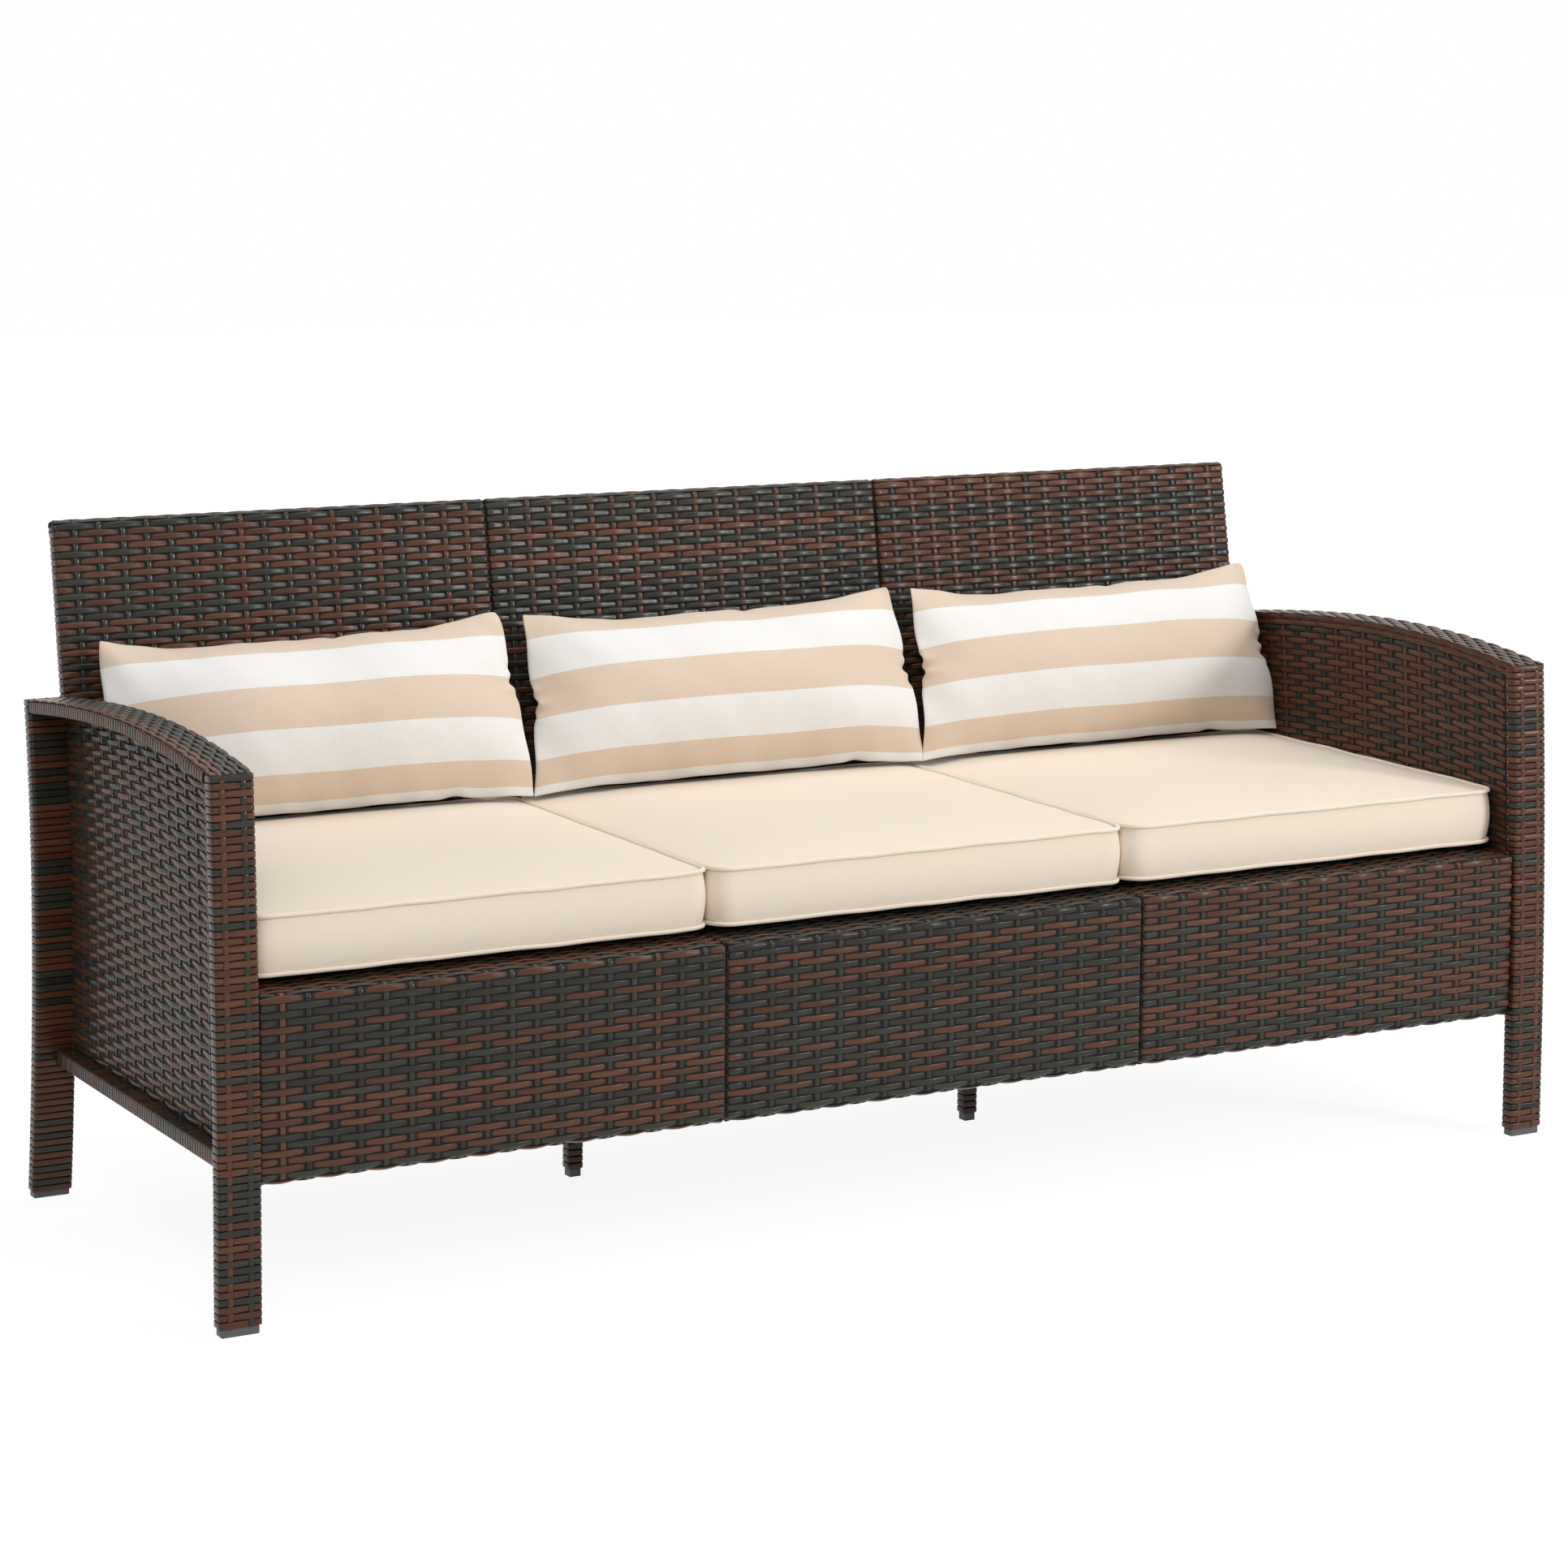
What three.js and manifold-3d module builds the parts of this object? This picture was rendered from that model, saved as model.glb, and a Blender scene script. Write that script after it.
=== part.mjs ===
// Three-seat garden sofa: woven resin wicker over a welded steel tube frame, with loose cushions.
// Millimetres, +Z up, +X along the seat, -Y to the front. Two arms carry three seat panels side by
// side, each seat panel carries its own leaning back, and two thin legs hold up the seams.
// Y is measured from the front feet while building, and the finished group is centred at the end.

import * as THREE from 'three';
import { mergeVertices } from 'three/addons/utils/BufferGeometryUtils.js';
import Module from 'manifold-3d';

const wasm = await Module();
wasm.setup();

// Whole sofa
const sofaWidth = 1800;
const places = ['left', 'middle', 'right'];
const seamGap = 2.5;
const armGap = 0.5;
const seatClearance = 0.3;
const overrun = 20;

// Arms: a flat tube bent up, over and down again, wrapped in strand
const legWidth = 49.5;
const legDepth = 20;
const armThickness = 18;
const armHeight = 605;
const armRearDrop = 4;
const armRise = 22;
const armSkewShare = 0.35;
const armCornerRadius = 12;
const armEdgeRound = 2;
const footSpread = 625;
const frontSweep = 16;
const frontSweepStart = 100;
const rearWaistHeight = 360;
const rearFootSweep = 24;
const rearTopSweep = 20;
const legWall = 1.5;
const skin = 2.4;

// Lower side rail and woven side panel of each arm
const railBottom = 164;
const railHeight = 19;
const railWidth = 25;
const sidePanelThickness = 7;
const ribDepth = 1.2;
const rowPitch = 8.8;

// Plastic foot caps
const capHeight = 9;
const plugHeight = 18;
const capDraft = 1;

// Seat panels
const deckHeight = 365;
const apronFace = 6.7;
const apronBottom = 155.5;
const barSize = 16;
const barWall = 1.5;
const deckSkin = 4;
const bearerCount = 1;
const tabThickness = 3;
const tabDrop = 34;
const tabBoltDrop = 20;

// Backs
const backHeight = 808;
const backSlope = 0.17;
const backSetIn = 15.3;
const backThickness = 22;
const backPanelSkin = 5;
const backBorder = 19;
const backTubeWall = 1.2;
const backRound = 5;

// Thin legs under the seams
const supportWidth = 20;
const supportY = 400;
const supportWall = 1.2;
const plateThickness = 3;
const plateLength = 66;
const plateBoltReach = 22;

// Bolts
const boltDiameter = 5;
const boltHeadDiameter = 9;
const boltHeadHeight = 3.5;
const boltReach = 6;
const frontBoltDrop = 52.7;
const backBoltInset = 60;

// Seat cushions
const cushionEase = 0.2;
const cushionFront = 40;
const cushionRearGap = 5.7;
const cushionLowerSeam = 12;
const cushionUpperSeam = 76;
const cushionCrown = 12;
const cushionCornerRadius = 26;
const cushionPull = 2.5;
const cushionUnderside = 14;

// Pillows
const pillowSpacing = 19.5;
const pillowHeight = 234;
const pillowThickness = 126;
const pillowPull = 12;
const pillowLean = 20;
const pillowShift = -6;
const pillowClearance = 0.4;

// Materials
const paint = {
  steel: { color: 0x3a3a3c, roughness: 0.5, metalness: 0.7 },
  wicker: { color: 0x47382f, roughness: 0.55, metalness: 0 },
  cap: { color: 0x5a5a5a, roughness: 0.6, metalness: 0 },
  zinc: { color: 0x9a9c9e, roughness: 0.35, metalness: 0.9 },
  cream: { color: 0xe8d9c2, roughness: 0.9, metalness: 0 },
  beige: { color: 0xe3cbb2, roughness: 0.9, metalness: 0 },
};

// Sizes that follow from the ones above
const armInner = sofaWidth / 2 - legWidth;
const seatSpan = 2 * (armInner - armGap);
const seatPitch = (seatSpan + seamGap) / places.length;
const seatHalf = (seatPitch - seamGap) / 2;
const pillowWidth = seatPitch - pillowSpacing;
const legHalf = legDepth / 2;
const skinInset = skin + seatClearance;
const rearWaistY = footSpread - rearFootSweep - legHalf;
const barHalf = barSize / 2;
const deckRadius = barHalf + seatClearance + deckSkin;
const frontBarY = apronFace + deckRadius;
const topBarZ = deckHeight - deckRadius;
const lowBarZ = apronBottom + deckRadius;
const frontBoltZ = topBarZ - frontBoltDrop;
const backLean = Math.atan(backSlope);
const backFootZ = deckHeight + seatClearance;
const backFootY = rearWaistY - backSetIn;
const backLength = (backHeight - backFootZ) / Math.cos(backLean);
const backFootDepth = backThickness / Math.cos(backLean);
const backTube = backThickness - backPanelSkin - skin - 2 * seatClearance;
const rearBarY = backFootY + backFootDepth / 2;
const deckRear = backFootY + backFootDepth;
const cushionDepth = backFootY - cushionFront - cushionRearGap;

// Facets of round pieces, and steps of the curves
const holeSides = 8;
const boltSides = 6;
const roundBarSides = 12;
const arcDegrees = 30;
const legSteps = 9;
const armSteps = 10;
const cornerSteps = 3;

// Turns a closed geometry into a solid that can be joined and cut
function solid(geometry) {
  const bare = geometry.clone();
  bare.deleteAttribute('normal');
  bare.deleteAttribute('uv');
  const merged = mergeVertices(bare);
  const corners = merged.index.array;
  const kept = [];
  for (let i = 0; i < corners.length; i += 3) {
    const [a, b, c] = [corners[i], corners[i + 1], corners[i + 2]];
    if (a !== b && b !== c && c !== a) kept.push(a, b, c);
  }
  return new wasm.Manifold(new wasm.Mesh({
    numProp: 3,
    vertProperties: new Float32Array(merged.attributes.position.array),
    triVerts: new Uint32Array(kept),
  }));
}

// Turns a solid back into a geometry
function geometryOf(body) {
  const mesh = body.getMesh();
  const geometry = new THREE.BufferGeometry();
  geometry.setAttribute('position', new THREE.BufferAttribute(new Float32Array(mesh.vertProperties), 3));
  geometry.setIndex(new THREE.BufferAttribute(new Uint32Array(mesh.triVerts), 1));
  geometry.computeVertexNormals();
  return geometry;
}

// Adds one named mesh with its own material
function piece(name, body, kind, parent, x = 0, y = 0, z = 0) {
  const geometry = body.isBufferGeometry ? body : geometryOf(body);
  const material = new THREE.MeshStandardMaterial({ ...paint[kind], flatShading: true });
  const mesh = new THREE.Mesh(geometry, material);
  mesh.name = name;
  mesh.position.set(x, y, z);
  parent.add(mesh);
  return mesh;
}

// Draws a closed [y, z] outline out along X, with its long edges eased by a bevel
function alongX(points, x0, x1, bevel = 0) {
  const shape = new THREE.Shape(points.map(([y, z]) => new THREE.Vector2(y, z)));
  const geometry = new THREE.ExtrudeGeometry(shape, {
    depth: x1 - x0 - 2 * bevel,
    bevelEnabled: bevel > 0,
    bevelThickness: bevel,
    bevelSize: bevel,
    bevelOffset: -bevel,
    bevelSegments: 1,
  });
  geometry.applyMatrix4(new THREE.Matrix4().set(0, 0, 1, x0 + bevel, 1, 0, 0, 0, 0, 1, 0, 0, 0, 0, 0, 1));
  return solid(geometry);
}

// A straight bar between two corners
function bar(x0, x1, y0, y1, z0, z1) {
  const geometry = new THREE.BoxGeometry(x1 - x0, y1 - y0, z1 - z0);
  geometry.translate((x0 + x1) / 2, (y0 + y1) / 2, (z0 + z1) / 2);
  return solid(geometry);
}

// A round bar or hole between two places on one axis: 'x' or 'z'
function rod(axis, radius, from, to, a, b, sides = holeSides) {
  const geometry = new THREE.CylinderGeometry(radius, radius, to - from, sides);
  if (axis === 'x') {
    geometry.rotateZ(Math.PI / 2);
    geometry.translate((from + to) / 2, a, b);
  } else {
    geometry.rotateX(Math.PI / 2);
    geometry.translate(a, b, (from + to) / 2);
  }
  return solid(geometry);
}

// Joins a list of solids
function joined(bodies) {
  return bodies.reduce((all, body) => all.add(body));
}

// Evenly spaced values from a to b, both included
function steps(a, b, count) {
  return Array.from({ length: count + 1 }, (_, i) => a + ((b - a) * i) / count);
}

// Side view of an arm

// Evenly spaced stations on a curve, with straight stretches between them
function stationed(curve, start, end, count) {
  const pitch = (end - start) / count;
  return (place) => {
    const station = Math.min(count - 1, Math.max(0, Math.floor((place - start) / pitch)));
    const low = start + station * pitch;
    const share = (place - low) / pitch;
    return curve(low) * (1 - share) + curve(low + pitch) * share;
  };
}

// A stretch from one place to another, with the stations that lie between them
function stretch(from, to, start, end, count) {
  const [low, high] = [Math.min(from, to), Math.max(from, to)];
  const inside = steps(start, end, count).filter((place) => place > low && place < high);
  if (from > to) inside.reverse();
  return [from, ...inside, to];
}

// Centreline of the front leg: upright at the foot, swept back towards the arm
const frontLegY = stationed((z) => {
  const share = Math.max(0, z - frontSweepStart) / (armHeight - frontSweepStart);
  return legHalf + frontSweep * share * share;
}, 0, armHeight, legSteps);

// Centreline of the rear leg: waisted at seat height, with its foot and its top set back
const rearLegY = stationed((z) => {
  const above = z > rearWaistHeight;
  const share = above ? (z - rearWaistHeight) / (armHeight - rearWaistHeight) : 1 - z / rearWaistHeight;
  return rearWaistY + (above ? rearTopSweep : rearFootSweep) * share * share;
}, 0, armHeight, legSteps);

const armStart = frontLegY(armHeight) - legHalf;
const armEnd = rearLegY(armHeight) + legHalf;

// Top of the arm: a shallow arch with its crown a little forward of the middle
const armTopZ = stationed((y) => {
  const share = (y - armStart) / (armEnd - armStart);
  const arch = 4 * share * (1 - share) * (1 + armSkewShare * (0.5 - share));
  return armHeight - armRearDrop * share + armRise * arch;
}, armStart, armEnd, armSteps);

// Stations up or down a leg, and along the arm
const legStations = (from, to) => stretch(from, to, 0, armHeight, legSteps);
const armStations = (from, to) => stretch(from, to, armStart, armEnd, armSteps);

// Points of a rounded corner between two ends, drawn towards the sharp corner
function rounded(start, corner, end) {
  const curve = new THREE.QuadraticBezierCurve(
    new THREE.Vector2(...start), new THREE.Vector2(...corner), new THREE.Vector2(...end));
  return curve.getPoints(cornerSteps).map((point) => [point.x, point.y]);
}

// Outline of the bent band, drawn in by an inset all round and open ended at the feet
function armOutline(inset, bottom) {
  const radius = armCornerRadius - inset;
  const frontTop = armHeight - inset;
  const frontOut = (z) => frontLegY(z) - legHalf + inset;
  const frontIn = (z) => frontLegY(z) + legHalf - inset;
  const rearOut = (z) => rearLegY(z) + legHalf - inset;
  const rearIn = (z) => rearLegY(z) - legHalf + inset;
  const top = (y) => armTopZ(y) - inset;
  const under = (y) => armTopZ(y) - armThickness + inset;
  const rearTop = armHeight - armRearDrop - inset;
  const frontCorner = [frontOut(armHeight), frontTop];
  const rearCorner = [rearOut(armHeight), rearTop];
  const frontUnder = under(frontIn(armHeight - armThickness));
  const rearUnder = under(rearIn(armHeight - armThickness));
  const archStart = frontCorner[0] + radius;
  const archEnd = rearCorner[0] - radius;
  return [
    ...legStations(bottom, frontTop - radius).slice(0, -1).map((z) => [frontOut(z), z]),
    ...rounded([frontOut(frontTop - radius), frontTop - radius], frontCorner, [archStart, top(archStart)]),
    ...armStations(archStart, archEnd).slice(1, -1).map((y) => [y, top(y)]),
    ...rounded([archEnd, top(archEnd)], rearCorner, [rearOut(rearTop - radius), rearTop - radius]),
    ...legStations(rearTop - radius, bottom).slice(1).map((z) => [rearOut(z), z]),
    ...legStations(bottom, rearUnder).map((z) => [rearIn(z), z]),
    ...armStations(rearIn(rearUnder), frontIn(frontUnder)).slice(1, -1).map((y) => [y, under(y)]),
    ...legStations(frontUnder, bottom).map((z) => [frontIn(z), z]),
  ];
}

// Low and high X of a stretch given by two distances from a middle, on one side of it
function spanOn(side, from, to) {
  return side > 0 ? [from, to] : [-to, -from];
}

// The same for one arm, measured outwards from its inner face
function armSpan(side, from, to) {
  return spanOn(side, armInner + from, armInner + to);
}

// Where the arm bolts go through the legs
const frontBoltY = frontBarY - barHalf + boltHeadDiameter / 2 + seatClearance;
const rearBoltZ = topBarZ - barHalf - tabBoltDrop;
const rearBoltY = rearLegY(rearBoltZ);
const boltHoleRadius = boltDiameter / 2 + seatClearance;

// Holes for the two bolts that hold a seat to an arm
function armBoltHoles(side) {
  const [x0, x1] = armSpan(side, -overrun, skinInset + legWall + overrun);
  return joined([
    rod('x', boltHoleRadius, x0, x1, frontBoltY, frontBoltZ),
    rod('x', boltHoleRadius, x0, x1, rearBoltY, rearBoltZ),
  ]);
}

// Rail stretch between the two legs, as seen from the side
function railOutline(inset, clearance) {
  const z0 = railBottom + inset;
  const z1 = railBottom + railHeight - inset;
  const front = (z) => frontLegY(z) + legHalf + clearance;
  const rear = (z) => rearLegY(z) - legHalf - clearance;
  return [[front(z0), z0], [rear(z0), z0], [rear(z1), z1], [front(z1), z1]];
}

// Bent flat tube with the lower rail welded between its legs, hollow and open at the feet
function armFrame(side) {
  const tube = (inset, bottom, reach) => joined([
    alongX(armOutline(inset, bottom), ...armSpan(side, inset, legWidth - inset)),
    alongX(railOutline(inset, -skinInset - reach), ...armSpan(side, inset, railWidth - inset)),
  ]);
  const footZ = capHeight + seatClearance;
  const outer = tube(skinInset, footZ, 0);
  const hollow = tube(skinInset + legWall, footZ - overrun, legWall);
  return outer.subtract(hollow).subtract(armBoltHoles(side));
}

// Tunnel round the lower rail, as tall and wide as the inside of its wrapping
function railTunnel(side, from, to) {
  const [x0, x1] = armSpan(side, skin, railWidth - skin);
  return bar(x0, x1, from, to, railBottom + skin, railBottom + railHeight - skin);
}

// Strand wrapping of the whole arm, parted into the two legs and the arch between them
function armWraps(side) {
  const footZ = capHeight + 2 * seatClearance;
  const outside = alongX(armOutline(0, footZ), ...armSpan(side, 0, legWidth), armEdgeRound);
  const core = alongX(armOutline(skin, footZ - overrun), ...armSpan(side, skin, legWidth - skin));
  const tunnel = railTunnel(side, legHalf, rearLegY(railBottom));
  const cut = outside.subtract(core).subtract(tunnel).subtract(armBoltHoles(side));
  const splitZ = armHeight - armThickness - armRearDrop;
  const middleY = footSpread / 2;
  const [a, b] = armSpan(side, -overrun, legWidth + overrun);
  const top = armHeight + armRise + overrun;
  return {
    front_leg_wrap: cut.intersect(bar(a, b, -overrun, middleY, 0, splitZ - seatClearance)),
    rear_leg_wrap: cut.intersect(bar(a, b, middleY, footSpread + overrun, 0, splitZ - seatClearance)),
    arm_wrap: cut.intersect(bar(a, b, -overrun, footSpread + overrun, splitZ, top)),
  };
}

// Strand wrapping of the lower rail
function railWrap(side) {
  const outside = alongX(railOutline(0, seatClearance), ...armSpan(side, 0, railWidth));
  return outside.subtract(railTunnel(side, 0, footSpread));
}

// Rows of strand as a comb of ridges, standing on a back face: [depth, height] points
function ridgedOutline(face, depth, low, high) {
  const rows = Math.round((high - low) / rowPitch);
  const edge = steps(low, high, 2 * rows).map((z, i) => [i % 2 ? face : face + ribDepth, z]);
  return [...edge, [face + depth, high], [face + depth, low]];
}

// Woven side panel, flush with the inner faces of the legs, ridged on its outer face
function sidePanel(side) {
  const low = railBottom + railHeight + seatClearance;
  const front = (z) => frontLegY(z) + legHalf + seatClearance;
  const rear = (z) => rearLegY(z) - legHalf - seatClearance;
  const under = (y) => armTopZ(y) - armThickness - seatClearance;
  const frontTop = under(front(armHeight - armThickness));
  const rearTop = under(rear(armHeight - armThickness));
  const outline = [
    ...legStations(low, rearTop).map((z) => [rear(z), z]),
    ...armStations(rear(rearTop), front(frontTop)).slice(1, -1).map((y) => [y, under(y)]),
    ...legStations(frontTop, low).map((z) => [front(z), z]),
  ];
  const slab = alongX(outline, ...armSpan(side, 0, sidePanelThickness));
  const top = armHeight + armRise;
  const comb = ridgedOutline(-sidePanelThickness, sidePanelThickness + overrun, low - rowPitch, top);
  const shape = new THREE.Shape(comb.map(([x, z]) => new THREE.Vector2(x * -side, z)));
  const ridges = new THREE.ExtrudeGeometry(shape, { depth: footSpread, bevelEnabled: false });
  ridges.rotateX(Math.PI / 2);
  ridges.translate(side * armInner, footSpread, 0);
  return slab.intersect(solid(ridges));
}

// Foot cap: a block as wide as the tube, with a plug that goes up inside it
function legCap(side, legY) {
  const outline = (inset, z0, z1) => {
    const half = legHalf - skinInset - inset;
    return [[legY(z0) - half, z0], [legY(z0) + half, z0], [legY(z1) + half, z1], [legY(z1) - half, z1]];
  };
  const plugInset = legWall + seatClearance;
  const span = (inset) => armSpan(side, skinInset + inset, legWidth - skinInset - inset);
  const block = alongX(outline(0, 0, capHeight), ...span(0), capDraft);
  const plug = alongX(outline(plugInset, capHeight / 2, capHeight + plugHeight), ...span(plugInset));
  return block.add(plug);
}

// Seat panels, each built around X = 0

// Bars of one seat frame; a wall greater than zero gives the hollow inside them
function seatBars(wall) {
  const half = barHalf - wall;
  const edge = seatHalf - wall;
  const side = (sign) => {
    const [x0, x1] = sign > 0 ? [edge - 2 * half, edge] : [-edge, 2 * half - edge];
    return [
      bar(x0, x1, frontBarY, rearBarY + half, topBarZ - half, topBarZ + half),
      bar(x0, x1, frontBarY - half, frontBarY + half, lowBarZ, topBarZ),
    ];
  };
  const bearers = steps(-seatHalf, seatHalf, bearerCount + 1).slice(1, -1).map((x) =>
    bar(x - half, x + half, frontBarY, rearBarY, topBarZ - half, topBarZ + half));
  return joined([
    rod('x', half, -edge, edge, frontBarY, topBarZ, roundBarSides),
    rod('x', half, -edge, edge, frontBarY, lowBarZ, roundBarSides),
    bar(-edge, edge, rearBarY - half, rearBarY + half, topBarZ - half, topBarZ + half),
    ...side(-1), ...side(1), ...bearers,
  ]);
}

// Hanging tab at the rear of an outer side bar, which the arm bolt goes through
function armTab(sign) {
  const [x0, x1] = spanOn(sign, seatHalf - tabThickness, seatHalf);
  const high = topBarZ - barHalf + tabThickness / 2;
  return bar(x0, x1, rearBarY - barHalf, rearBoltY + barHalf, topBarZ - barHalf - tabDrop, high);
}

// Places of the bolts under one seat
const backBoltX = seatHalf - backBoltInset;
const plateBoltX = (seamGap + barSize) / 2;

// Welded seat frame: a rectangle of square tube on round front bars, with posts behind the apron
function seatFrame(tabSigns) {
  const holes = [];
  const low = topBarZ - barSize;
  for (const sign of [-1, 1]) {
    const [x0, x1] = spanOn(sign, seatHalf - 2 * barSize, seatHalf + overrun);
    const atArm = tabSigns.includes(sign);
    holes.push(rod('x', boltHoleRadius, x0, x1, atArm ? frontBoltY : frontBarY, frontBoltZ));
    if (atArm) holes.push(rod('x', boltHoleRadius, x0, x1, rearBoltY, rearBoltZ));
    const seamX = sign * (seatHalf + seamGap / 2 - plateBoltX);
    const seamY = supportY - sign * plateBoltReach;
    if (!atArm) holes.push(rod('z', boltHoleRadius, low, topBarZ, seamX, seamY));
    holes.push(rod('z', boltHoleRadius, low, deckHeight, sign * backBoltX, rearBarY));
  }
  const outer = joined([seatBars(0), ...tabSigns.map(armTab)]);
  return outer.subtract(seatBars(barWall)).subtract(joined(holes));
}

// Woven front apron: over the top bar, down the front in ridged rows and round the lower bar
function apronWeave() {
  const arc = (z, radius, from, to) => {
    const count = Math.round(Math.abs(to - from) / arcDegrees);
    return steps(from, to, count).map((degrees) => {
      const angle = THREE.MathUtils.degToRad(degrees);
      return [frontBarY + radius * Math.cos(angle), z + radius * Math.sin(angle)];
    });
  };
  const inner = barHalf + seatClearance;
  const rows = Math.round((topBarZ - lowBarZ) / rowPitch);
  const ridges = steps(topBarZ, lowBarZ, 2 * rows).slice(1, -1)
    .map((z, i) => [frontBarY - deckRadius + (i % 2 ? 0 : ribDepth), z]);
  const outline = [
    ...arc(topBarZ, deckRadius, 90, 180), ...ridges, ...arc(lowBarZ, deckRadius, 180, 360),
    ...arc(lowBarZ, inner, 360, 180), ...arc(topBarZ, inner, 180, 90),
  ];
  return alongX(outline, -seatHalf, seatHalf);
}

// Woven deck that the seat cushion lies on
function deckWeave() {
  const front = frontBarY + seatClearance;
  const slab = bar(-seatHalf, seatHalf, front, deckRear, deckHeight - deckSkin, deckHeight);
  return slab.subtract(backBoltHoles());
}

// Holes for the two upright bolts that hold a back on its seat
function backBoltHoles() {
  const holes = [-1, 1].map((sign) =>
    rod('z', boltHoleRadius, topBarZ, deckHeight + overrun, sign * backBoltX, rearBarY));
  return joined(holes);
}

// Backs, each built around X = 0

// Places a section given as depth behind the front face and height up the slope
function onBack([depth, rise]) {
  const [sin, cos] = [Math.sin(backLean), Math.cos(backLean)];
  return [backFootY + depth * cos + rise * sin, backFootZ - depth * sin + rise * cos];
}

// Section of the back between two depths; its low end is level with the seat
function backSection(near, far, lowInset, highInset) {
  const low = (depth) => lowInset + depth * backSlope;
  const high = backLength - highInset;
  return [[near, low(near)], [far, low(far)], [far, high], [near, high]].map(onBack);
}

// Woven back: ridged panel that wraps round the frame as a rim, open behind to a shallow recess
function backWeave() {
  const blank = alongX(backSection(0, backThickness, 0, 0), -seatHalf, seatHalf, backRound);
  const comb = ridgedOutline(0, backThickness + overrun, -rowPitch, backLength);
  const ridged = alongX(comb.map(onBack), -seatHalf - overrun, seatHalf + overrun);
  const pocketEdge = seatHalf - skin;
  const rear = backThickness - skin;
  const pocket = alongX(backSection(backPanelSkin, rear, skin, skin), -pocketEdge, pocketEdge);
  const windowEdge = seatHalf - backBorder;
  const window = alongX(
    backSection(rear - skin, backThickness + overrun, backBorder, backBorder), -windowEdge, windowEdge);
  return blank.intersect(ridged).subtract(pocket).subtract(window).subtract(backBoltHoles());
}

// Welded back frame: a ring of thin square tube inside the rim of the weave
function backFrame() {
  const ring = (wall) => {
    const near = backPanelSkin + seatClearance + wall;
    const far = near + backTube - 2 * wall;
    const inset = skinInset + wall;
    const hole = skinInset + backTube - wall;
    const edge = seatHalf - inset;
    const holeEdge = seatHalf - hole;
    return alongX(backSection(near, far, inset, inset), -edge, edge).subtract(
      alongX(backSection(near - overrun, far + overrun, hole, hole), -holeEdge, holeEdge));
  };
  return ring(0).subtract(ring(backTubeWall)).subtract(backBoltHoles());
}

// Thin legs under the seams, each built around X = 0

const supportTubeHalf = supportWidth / 2 - skinInset;
const plateTop = topBarZ - barHalf - seatClearance;

// Square tube with a welded plate that bridges the side bars of two seats
function supportLeg() {
  const half = supportTubeHalf;
  const inner = half - supportWall;
  const plateHalf = seamGap / 2 + barSize;
  const plateEdge = plateLength / 2;
  const plateLow = plateTop - plateThickness;
  const low = capHeight + seatClearance;
  const high = plateLow + plateThickness / 2;
  const post = bar(-half, half, supportY - half, supportY + half, low, high);
  const plate = bar(-plateHalf, plateHalf, supportY - plateEdge, supportY + plateEdge, plateLow, plateTop);
  const hollow = bar(-inner, inner, supportY - inner, supportY + inner, 0, plateLow);
  const holes = [-1, 1].map((sign) => {
    const [x, y] = [sign * plateBoltX, supportY + sign * plateBoltReach];
    return rod('z', boltHoleRadius, plateLow - overrun, plateTop + overrun, x, y);
  });
  return post.add(plate).subtract(hollow).subtract(joined(holes));
}

// Strand wrapping of a thin leg
function supportWrap() {
  const half = supportWidth / 2;
  const inner = half - skin;
  const low = capHeight + 2 * seatClearance;
  const high = plateTop - plateThickness - seatClearance;
  return bar(-half, half, supportY - half, supportY + half, low, high)
    .subtract(bar(-inner, inner, supportY - inner, supportY + inner, 0, deckHeight));
}

// Cap of a thin leg, with its plug
function supportCap() {
  const half = supportTubeHalf;
  const plug = half - supportWall - seatClearance;
  return bar(-half, half, supportY - half, supportY + half, 0, capHeight)
    .add(bar(-plug, plug, supportY - plug, supportY + plug, capHeight / 2, capHeight + plugHeight));
}

// Bolt with a domed head below the origin and its shank along +Z
function bolt(length) {
  const head = boltHeadDiameter / 2;
  const shank = boltDiameter / 2;
  const profile = [
    [0, -boltHeadHeight], [head / 2, -boltHeadHeight], [head, -boltHeadHeight / 2], [head, 0],
    [shank, 0], [shank, length], [0, length],
  ];
  const geometry = new THREE.LatheGeometry(profile.map(([r, z]) => new THREE.Vector2(r, z)), boltSides);
  geometry.rotateX(Math.PI / 2);
  return solid(geometry);
}

// Soft pieces

// Rounded rectangle whose sides are pulled in between the corners
function cushionOutline(halfX, halfY, radius, pull) {
  const points = [];
  const arcSteps = 3;
  const sideSteps = 5;
  const quarter = [[1, -1], [1, 1], [-1, 1], [-1, -1]];
  quarter.forEach(([sx, sy], turn) => {
    const [cx, cy] = [sx * (halfX - radius), sy * (halfY - radius)];
    for (const share of steps(0, 1, arcSteps)) {
      const angle = (turn - 1 + share) * (Math.PI / 2);
      points.push([cx + radius * Math.cos(angle), cy + radius * Math.sin(angle)]);
    }
    const [nx, ny] = quarter[(turn + 1) % quarter.length];
    const next = [nx * (halfX - radius), ny * (halfY - radius)];
    const out = [Math.cos(turn * Math.PI / 2), Math.sin(turn * Math.PI / 2)];
    for (const share of steps(0, 1, sideSteps).slice(1, -1)) {
      const reach = radius - pull * Math.sin(share * Math.PI);
      const [x, y] = [cx + (next[0] - cx) * share, cy + (next[1] - cy) * share];
      points.push([x + out[0] * reach, y + out[1] * reach]);
    }
  });
  return points;
}

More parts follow.
